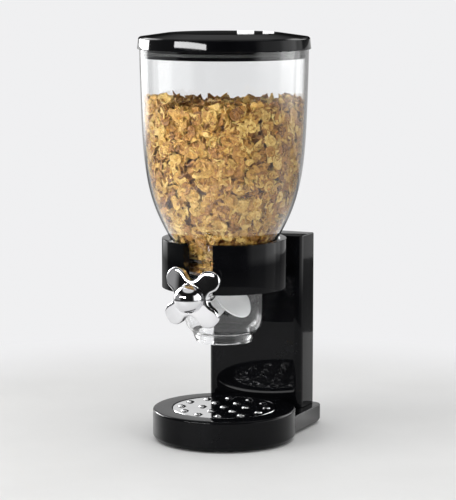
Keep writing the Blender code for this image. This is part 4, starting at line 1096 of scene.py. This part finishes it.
def make_collar(material):
    collar = turned("collar_ring", collar_profile(), steps=176)
    neck = rounded_box(NECK_HALF_WIDTH, NECK_FRONT_Y, NECK_REAR_Y, NECK_CORNER, NECK_CORNER, 3)
    add(collar, stacked("neck", [(height, neck) for height in NECK_HEIGHTS]))
    low = COLLAR_CUT_START_Z
    cut(collar, cylinder("bore", COLLAR_INNER_RADIUS, low, COLLAR_BORE_END_Z, steps=176))
    for side in channel_outlines():
        cut(collar, stacked("channel", [(low, side), (CHANNEL_TOP_Z, side)]))
    half = NOTCH_HALF_WIDTH
    cut(collar, box("notch", (-half, NOTCH_CUT_FRONT_Y, low), (half, 0, NOTCH_CUT_END_Z)))
    soften_edges(collar, COLLAR_EDGE, 4, 50)
    dress(collar, material, "stand", ["collar"])


# Screws
def numbered(group):
    return [f"{group}_{number}" for number in range(1, 5)]


def make_screw(place):
    """A screw with its head's outer face at the place's origin and its shank along +Z."""
    corners = [
        (0, 0),
        (SCREW_HEAD_RADIUS, 0, 0.5),
        (SCREW_HEAD_RADIUS, SCREW_HEAD_HEIGHT, 0.15),
        (SCREW_SHANK_RADIUS, SCREW_HEAD_HEIGHT),
        (SCREW_SHANK_RADIUS, SCREW_LENGTH, 0.3),
        (0, SCREW_LENGTH),
    ]
    screw = turned("screw", fillet(corners), steps=32, matrix=place)
    low = (-CROSS_HALF_LENGTH, -CROSS_HALF_WIDTH, CROSS_HEIGHTS[0])
    high = (CROSS_HALF_LENGTH, CROSS_HALF_WIDTH, CROSS_HEIGHTS[1])
    for turn in (0.0, 90.0):
        matrix = place @ Matrix.Rotation(math.radians(turn + SCREW_TURN), 4, "Z")
        cut(screw, box("cross", low, high, matrix))
    return screw


def make_screws(name, group, places, material):
    screws = join_all(name, [make_screw(place) for place in places])
    dress(screws, material, "stand", numbered(group))


def rear_screw_places():
    forward = Matrix.Rotation(math.radians(90), 4, "X")
    depth = COLUMN_REAR_Y - SCREW_SINK
    return [Matrix.Translation((x, depth, z)) @ forward for x, z in cover_screw_places()]


def base_screw_places():
    return [Matrix.Translation((x, y, PLATE_Z + SCREW_SINK)) for x, y in BASE_SCREW_PLACES]


# Metering wheel
def blade_level(height, inset):
    """Outline of a blade at a height above its middle plane, cut from the wheel's sphere."""
    corner = math.degrees(math.acos(WHEEL_HALF_LENGTH / WHEEL_RADIUS))
    rim = arc((0, 0), WHEEL_RADIUS, corner - 90, 90 - corner, 40)
    share = 1 - inset / WHEEL_RADIUS
    outline = [(BLADE_ROOT_RADIUS, -WHEEL_HALF_LENGTH * share)]
    outline += [(r - inset, y * share) for r, y in rim]
    outline.append((BLADE_ROOT_RADIUS, WHEEL_HALF_LENGTH * share))
    return height, outline


def make_wheel(material):
    half = WHEEL_HALF_LENGTH
    sleeve = [
        (WHEEL_BORE_RADIUS, -half),
        (WHEEL_SLEEVE_RADIUS, -half, 0.6),
        (WHEEL_SLEEVE_RADIUS, half, 0.6),
        (WHEEL_BORE_RADIUS, half),
    ]
    wheel = turned("wheel_blades", fillet(sleeve), steps=64, matrix=along_y())
    levels = [blade_level(height, inset) for height, inset in BLADE_LEVELS]
    for index in range(BLADE_COUNT):
        turn = math.radians(BLADE_PHASE + 360.0 / BLADE_COUNT * index)
        matrix = Matrix.Translation((0, 0, SHAFT_Z)) @ Matrix.Rotation(-turn, 4, "Y")
        add(wheel, stacked("blade", levels, matrix))
    dress(wheel, material, "metering_wheel", ["paddle_wheel"])


# Knob and dome
def valley_circle():
    """Distance and radius of the arcs between the lobes, which they meet without a corner."""
    cosine = math.cos(math.pi / KNOB_LOBES)
    reach = KNOB_VALLEY_RADIUS - KNOB_LOBE_CENTRE * cosine - KNOB_LOBE_RADIUS
    across = KNOB_LOBE_RADIUS**2 - KNOB_LOBE_CENTRE**2 - KNOB_VALLEY_RADIUS**2
    radius = (across + 2 * KNOB_LOBE_CENTRE * KNOB_VALLEY_RADIUS * cosine) / (2 * reach)
    return KNOB_VALLEY_RADIUS + radius, radius


def knob_outline(inset):
    half_turn = 180.0 / KNOB_LOBES
    distance, radius = valley_circle()
    out, up = point_at(distance, half_turn)
    lobe_half = math.degrees(math.atan2(up, out - KNOB_LOBE_CENTRE))
    lobe_out, lobe_up = point_at(KNOB_LOBE_CENTRE, half_turn)
    valley_half = math.degrees(math.atan2(lobe_up, distance - lobe_out))
    outline = []
    for index in range(KNOB_LOBES):
        lobe = KNOB_PHASE + 2 * half_turn * index
        start, end = lobe - lobe_half, lobe + lobe_half
        centre = point_at(KNOB_LOBE_CENTRE, lobe)
        outline += arc(centre, KNOB_LOBE_RADIUS - inset, start, end, 2 * KNOB_ARC_STEPS)
        valley = lobe + half_turn
        start, end = valley + 180.0 + valley_half, valley + 180.0 - valley_half
        outline += arc(point_at(distance, valley), radius + inset, start, end, KNOB_ARC_STEPS)[1:-1]
    return outline


def knob_face(inset, drop, size=1.0):
    """A ring of points on the crowned face, lowered by a little at the edge."""
    outline = [(x * size, y * size) for x, y in knob_outline(inset)]
    front = KNOB_FRONT_Y + drop
    return [(x, y, front + (x * x + y * y) / (2 * KNOB_CROWN_RADIUS)) for x, y in outline]


def knob_rings():
    """Rings from the face's middle over the front edge to the rear edge."""
    rings = [knob_face(2 * KNOB_EDGE, 0.0, size) for size in KNOB_FACE_SIZES]
    edge = [(KNOB_EDGE * (1 - math.sin(a)), KNOB_EDGE * (1 - math.cos(a))) for a in KNOB_EDGE_ANGLES]
    rings += [knob_face(inset, rise) for inset, rise in edge[1:]]
    for inset, rise in edge[::-1]:
        rings.append([(x, y, KNOB_BACK_Y - rise) for x, y in knob_outline(inset)])
    return rings


def make_knob(material):
    rings = knob_rings()
    size = len(rings[0])
    points = [point for ring in rings for point in ring]
    last = len(points) - size
    faces = []
    for low in range(0, last, size):
        faces += ring_faces(low, low + size, size)
    faces += [(len(points), (step + 1) % size, step) for step in range(size)]
    faces.append(tuple(range(last, last + size)))
    points.append((0, 0, KNOB_FRONT_Y))
    knob = add_mesh("knob_lobes", placed(points, along_y()), faces)
    seat_end = KNOB_BACK_Y - SEAT_DEPTH
    seat = [(0, KNOB_FRONT_Y), (SEAT_RADIUS, KNOB_FRONT_Y, 0.3), (SEAT_RADIUS, seat_end), (0, seat_end)]
    add(knob, turned("seat", fillet(seat), steps=96, matrix=along_y()))
    root = KNOB_BACK_Y - OVERLAP
    end = KNOB_SLEEVE_END_Y
    sleeve = [(0, root), (KNOB_SLEEVE_RADIUS, root), (KNOB_SLEEVE_RADIUS, end, 0.6), (0, end)]
    add(knob, turned("sleeve", fillet(sleeve), steps=64, matrix=along_y()))
    cut(knob, cylinder("bore", SHAFT_HOLE_RADIUS, *KNOB_BORE_ENDS, steps=48, matrix=along_y()))
    dress(knob, material, "metering_wheel", ["knob"])


def make_dome(material):
    back = KNOB_FRONT_Y - FIT
    widest = math.degrees(math.asin((back - DOME_CENTRE_Y) / DOME_RADIUS))
    profile = arc((0, DOME_CENTRE_Y), DOME_RADIUS, widest, -90.0, 40)[:-1]
    profile += [(0, DOME_CENTRE_Y - DOME_RADIUS), (0, back)]
    dome = turned("knob_cap", profile, steps=128, matrix=along_y())
    dress(dome, material, "metering_wheel", ["knob_dome"])


# Cereal
def flake_faces():
    """Faces of a flake: two sheets of rings about a middle point, joined along their edge."""
    lower = 1 + FLAKE_RINGS * FLAKE_STEPS
    edge = lower - FLAKE_STEPS
    faces = []
    for step in range(FLAKE_STEPS):
        after = (step + 1) % FLAKE_STEPS
        faces.append((0, 1 + step, 1 + after))
        faces.append((lower, lower + 1 + after, lower + 1 + step))
        for a in range(1, edge, FLAKE_STEPS):
            b = a + FLAKE_STEPS
            faces.append((a + step, b + step, b + after, a + after))
            faces.append((lower + a + step, lower + a + after, lower + b + after, lower + b + step))
        faces.append((edge + step, lower + edge + step, lower + edge + after, edge + after))
    return faces


def flake_outline(angle):
    """Reach of a flake's ragged edge at each angle."""
    wobble = sum(
        rng.normal(0, FLAKE_WOBBLE / k**0.8) * np.cos(k * angle + rng.uniform(*ANY_PHASE))
        for k in range(2, 9)
    )
    return rng.uniform(*FLAKE_SIZE) * np.clip(1 + wobble, *FLAKE_REACH)


def crinkle(x, y):
    """Heights of a flake that is bent along and across and has waves of two sizes."""
    along = rng.uniform(*FLAKE_BEND_ALONG)
    across = rng.uniform(*FLAKE_BEND_ACROSS)
    z = along * x**2 + across * y**2
    for paces, count, heights in FLAKE_WAVES:
        for _ in range(count):
            direction = rng.uniform(*ANY_PHASE)
            pace = rng.uniform(*paces)
            run = x * math.cos(direction) + y * math.sin(direction)
            z = z + rng.uniform(*heights) * np.sin(pace * run + rng.uniform(*ANY_PHASE))
    return z


def flake_shape():
    """Points of one crinkled flake about 13 mm across, its upper sheet before its lower one."""
    angle = 2 * np.pi * np.arange(FLAKE_STEPS) / FLAKE_STEPS
    outline = flake_outline(angle)
    stretch = rng.uniform(*FLAKE_STRETCH)
    share = np.linspace(0.0, 1.0, FLAKE_RINGS + 1)[1:]
    r = share[:, None] * outline[None, :]
    x = np.concatenate([[0.0], (r * np.cos(angle)).ravel()])
    y = np.concatenate([[0.0], (r * np.sin(angle) * stretch).ravel()])
    z = crinkle(x, y)
    sheets = [np.stack([x, y, z + side * FLAKE_HALF_THICKNESS], 1) for side in (1, -1)]
    return np.vstack(sheets)


def heap_top(x, y):
    """Height of the cereal's uneven top, a little lower in the picture's middle."""
    across = (PICTURE_RIGHT[0] * x + PICTURE_RIGHT[1] * y) / HEAP_HALF_WIDTH
    swells = 1.8 * np.sin(x / 19.0 + 1.0) * np.cos(y / 23.0) + 1.6 * np.sin(x / 9.0 - y / 13.0)
    return HEAP_TOP_Z + HEAP_DISH * across**2 + swells


def lean(normal, tilt):
    """A rotation whose third axis leans by the tilt from the given normal."""
    side = rng.normal(size=3)
    side -= side @ normal * normal
    side /= np.linalg.norm(side)
    third = normal * math.cos(tilt) + side * math.sin(tilt)
    first = np.cross(third, rng.normal(size=3))
    first /= np.linalg.norm(first)
    return np.stack([first, np.cross(third, first), third], 1)


def wall_place(depth, tilt):
    """A place and turn for a flake under the canister's wall, or None if the draw falls outside."""
    z = rng.uniform(*WALL_HEIGHTS)
    wall = np.interp(z, *INNER_WALL)
    if rng.uniform(0, WALL_DRAW) > wall:
        return None
    angle = rng.uniform(0, 2 * math.pi)
    slope = (np.interp(z + 2, *INNER_WALL) - np.interp(z - 2, *INNER_WALL)) / 4.0
    normal = np.array([math.cos(angle), math.sin(angle), -slope])
    normal /= np.linalg.norm(normal)
    spot = np.array([wall * math.cos(angle), wall * math.sin(angle), z]) - normal * depth
    if spot[2] > heap_top(spot[0], spot[1]):
        return None
    return spot, lean(normal, rng.uniform(0, tilt))


def top_place():
    angle = rng.uniform(0, 2 * math.pi)
    r = TOP_RADIUS * math.sqrt(rng.uniform(0, 1))
    x, y = r * math.cos(angle), r * math.sin(angle)
    spot = np.array([x, y, heap_top(x, y) + rng.uniform(*TOP_SPREAD)])
    return spot, lean(np.array([0.0, 0.0, 1.0]), rng.uniform(0, TOP_TILT))


def flake_places():
    places = []
    for depth, tilt, count in WALL_LAYERS:
        layer = []
        while len(layer) < count:
            place = wall_place(depth, tilt)
            if place:
                layer.append(place)
        places += layer
    return places + [top_place() for _ in range(TOP_FLAKES)]


def keep_inside(points):
    """Presses points back inside the canister's wall and off the wheel's sphere."""
    wheel = np.array([0.0, 0.0, SHAFT_Z])
    out = points.copy()
    from_wheel = out - wheel
    gap = np.linalg.norm(from_wheel, axis=1)
    near = gap < CEREAL_WHEEL_RADIUS
    out[near] = wheel + from_wheel[near] / gap[near, None] * CEREAL_WHEEL_RADIUS
    out[:, 2] = np.maximum(out[:, 2], CEREAL_BOTTOM_Z)
    wall = np.interp(out[:, 2], *INNER_WALL) - CEREAL_WALL_GAP
    reach = np.hypot(out[:, 0], out[:, 1])
    over = reach > wall
    out[over, :2] *= (wall[over] / reach[over])[:, None]
    return out


def set_tones(data, tones):
    """Stores at each point how pale the cereal is there."""
    attribute = data.attributes.new("tone", "FLOAT", "POINT")
    attribute.data.foreach_set("value", np.asarray(tones, np.float32))


def make_flakes(name, places, shapes, material):
    points, faces, tones = [], [], []
    size = len(shapes[0])
    shape_faces = flake_faces()
    for number, (spot, turn) in enumerate(places):
        shape = shapes[rng.integers(len(shapes))]
        points.append(keep_inside(shape @ turn.T * rng.uniform(*FLAKE_SCALE) + spot))
        tones.append(np.full(size, rng.uniform(*FLAKE_TONE)))
        faces += [tuple(number * size + i for i in face) for face in shape_faces]
    data = new_mesh(name, np.vstack(points), faces)
    set_tones(data, np.concatenate(tones))
    data.shade_smooth()
    dress(link(name, data), material, "hopper")


def make_core(material):
    """The hidden filling behind the flakes that lie along the wall, with a tone below every flake's as
    painted shade in the gaps between them.
    """
    side = [(np.interp(z, *INNER_WALL) - CORE_INSET, z) for z in CORE_HEIGHTS]
    core = turned("cereal_core", [*CORE_FOOT, *side, (0, CORE_TOP_Z)], steps=96)
    set_tones(core.data, np.full(len(core.data.vertices), CORE_SHADE_TONE))
    dress(core, material, "hopper")


def make_cereal(material):
    shapes = [flake_shape() for _ in range(FLAKE_SHAPES)]
    places = flake_places()
    for number, start in enumerate(range(0, len(places), FLAKES_PER_PIECE), 1):
        piece = places[start : start + FLAKES_PER_PIECE]
        make_flakes(f"cereal_flakes_{number}", piece, shapes, material)
    make_core(material)


# World, floor, lights and camera
def direction_part(tree, direction, axis):
    return add_node(tree, "ShaderNodeSeparateXYZ", {0: direction}).outputs[axis]


def around(tree, direction, stops):
    """Brightness by compass angle, counted in degrees from the front towards +X."""
    forward = math_node(tree, "MULTIPLY", direction_part(tree, direction, "Y"), -1.0)
    angle = math_node(tree, "ARCTAN2", direction_part(tree, direction, "X"), forward)
    share = math_node(tree, "MULTIPLY_ADD", angle, 0.5 / math.pi, 0.5)
    shades = [((degrees + 180.0) / 360.0, (level / BRIGHTEST,) * 3) for degrees, level in stops]
    return math_node(tree, "MULTIPLY", ramp(tree, share, shades), BRIGHTEST)


def by_height(tree, direction, band):
    start, end, below, above = band
    return spread(tree, direction_part(tree, direction, "Z"), below, above, start, end)


def belt(tree, direction, stops, bands):
    """Brightness by compass angle, times that of each band of height."""
    level = around(tree, direction, stops)
    for band in bands:
        level = math_node(tree, "MULTIPLY", level, by_height(tree, direction, band))
    return level


def background(tree, colour, strength=1.0):
    settings = {"Color": (*colour, 1.0), "Strength": strength}
    return add_node(tree, "ShaderNodeBackground", settings).outputs["Background"]


def reflected_room(tree):
    """What mirrors see: windows at the sides, a wall and a backdrop, ceiling and counter."""
    direction = tree.nodes.new("ShaderNodeTexCoord").outputs["Generated"]
    sides = belt(tree, direction, SIDE_WINDOWS, SIDE_BANDS)
    backdrop = belt(tree, direction, BACKDROP, BACKDROP_BANDS)
    wall = belt(tree, direction, BACK_WALL, BACK_WALL_BANDS)
    ceiling = by_height(tree, direction, CEILING_BAND)
    counter = by_height(tree, direction, COUNTER_BAND)
    behind = math_node(tree, "ADD", backdrop, wall)
    ends = math_node(tree, "ADD", ceiling, counter)
    level = math_node(tree, "ADD", math_node(tree, "ADD", sides, behind), ends)
    return background(tree, WHITE, level)


def make_world():
    """A pale backdrop for the eye, soft light for surfaces and the room for mirrors."""
    world = bpy.data.worlds.new("studio")
    bpy.context.scene.world = world
    world.use_nodes = True
    tree = world.node_tree
    tree.nodes.clear()
    path = tree.nodes.new("ShaderNodeLightPath").outputs
    room = reflected_room(tree)
    soft = background(tree, WHITE, SOFT_LIGHT)
    pale = background(tree, PALE)
    glossy = mix_shaders(tree, path["Is Glossy Ray"], soft, room)
    reflected = math_node(tree, "GREATER_THAN", path["Glossy Depth"], 0.5)
    through = mix_shaders(tree, reflected, pale, room)
    unseen = mix_shaders(tree, path["Is Transmission Ray"], glossy, through)
    shown = mix_shaders(tree, path["Is Camera Ray"], unseen, pale)
    add_node(tree, "ShaderNodeOutputWorld", {"Surface": shown})


def floor_look():
    """A matt floor that fades into the backdrop, for the eye and through clear plastic."""
    material, tree = new_material("floor_look")
    nodes = tree.nodes
    tones = ((0.3, (0.655, 0.655, 0.65)), (0.7, (0.685, 0.685, 0.68)))
    colour = ramp(tree, noise_node(tree, 8.0, 3.0), tones)
    set_shader(material, {"Base Color": colour, "Roughness": 0.5, "Specular IOR Level": 0.1})
    place = nodes.new("ShaderNodeTexCoord").outputs["Object"]
    distance = add_node(tree, "ShaderNodeVectorMath", {0: place})
    distance.operation = "LENGTH"
    settings = {"Value": distance.outputs["Value"], "From Min": FLOOR_FADE[0], "From Max": FLOOR_FADE[1]}
    fade = add_node(tree, "ShaderNodeMapRange", settings)
    fade.interpolation_type = "SMOOTHSTEP"
    path = nodes.new("ShaderNodeLightPath").outputs
    seen = math_node(tree, "MAXIMUM", path["Is Camera Ray"], path["Is Transmission Ray"])
    share = math_node(tree, "MULTIPLY", fade.outputs["Result"], seen)
    matt = nodes["Principled BSDF"].outputs["BSDF"]
    glow = add_node(tree, "ShaderNodeEmission", {"Color": (*PALE, 1.0)}).outputs["Emission"]
    set_inputs(tree, nodes["Material Output"], {"Surface": mix_shaders(tree, share, matt, glow)})
    return material


def make_floor():
    points, faces = turned_parts([(radius, 0) for radius in FLOOR_RADII], steps=96, closed=False)
    floor = add_mesh("floor", points, faces)
    floor.data.materials.append(floor_look())
    floor.location.z = -FLOOR_DROP * MM


def area_light(name, place, aim, width, height, power):
    light = bpy.data.lights.new(name, "AREA")
    light.shape = "RECTANGLE"
    light.size = width
    light.size_y = height
    light.energy = power
    item = link(name, light)
    item.location = place
    item.rotation_euler = (Vector(aim) - Vector(place)).to_track_quat("-Z", "Y").to_euler()
    item.visible_camera = False
    item.visible_transmission = False
    return item


def make_lights():
    """Lamps that don't show in mirrors, and windows that show nowhere else."""
    for lamp in LAMPS:
        area_light(*lamp).visible_glossy = False
    for window in WINDOWS:
        area_light(*window).visible_diffuse = False


def make_camera():
    data = bpy.data.cameras.new("camera")
    data.sensor_width = CAMERA_SENSOR
    data.lens = CAMERA_LENS
    data.shift_x = CAMERA_SHIFT
    data.dof.use_dof = False
    camera = link("camera", data)
    camera.location = to_metres([CAMERA_PLACE])[0]
    camera.rotation_euler = Vector(CAMERA_FORWARD).to_track_quat("-Z", "Y").to_euler()
    bpy.context.scene.camera = camera


def main():
    gloss, satin, steel_look, rubber_look = gloss_black(), satin_black(), steel(), rubber()
    mirror, white = chrome(), white_plastic()
    make_canister(clear_canister())
    make_cup(clear_cup())
    make_lid_cap(gloss)
    make_lid_plug(gloss)
    make_lid_seal(rubber_look)
    make_base(gloss)
    make_tray(tray_mirror())
    make_column(gloss)
    make_rear_cover(satin)
    make_collar(gloss)
    make_wheel(silicone())
    make_knob(mirror)
    make_dome(mirror)
    make_cereal(cereal_look())
    make_screws("rear_screws", "rear_cover_screw", rear_screw_places(), steel_look)
    make_screws("under_screws", "base_plate_screw", base_screw_places(), steel_look)
    paint(satin, "base_plate")
    paint(rubber_look, "foot_front_left", "foot_front_right", "foot_rear_left", "foot_rear_right")
    paint(steel_look, "drive_shaft", *numbered("column_screw"), *numbered("collar_screw"))
    paint(white, "shaft_bush", "wheel_core")
    make_world()
    make_floor()
    make_lights()
    make_camera()
    bpy.context.scene.view_settings.view_transform = "Standard"


main()
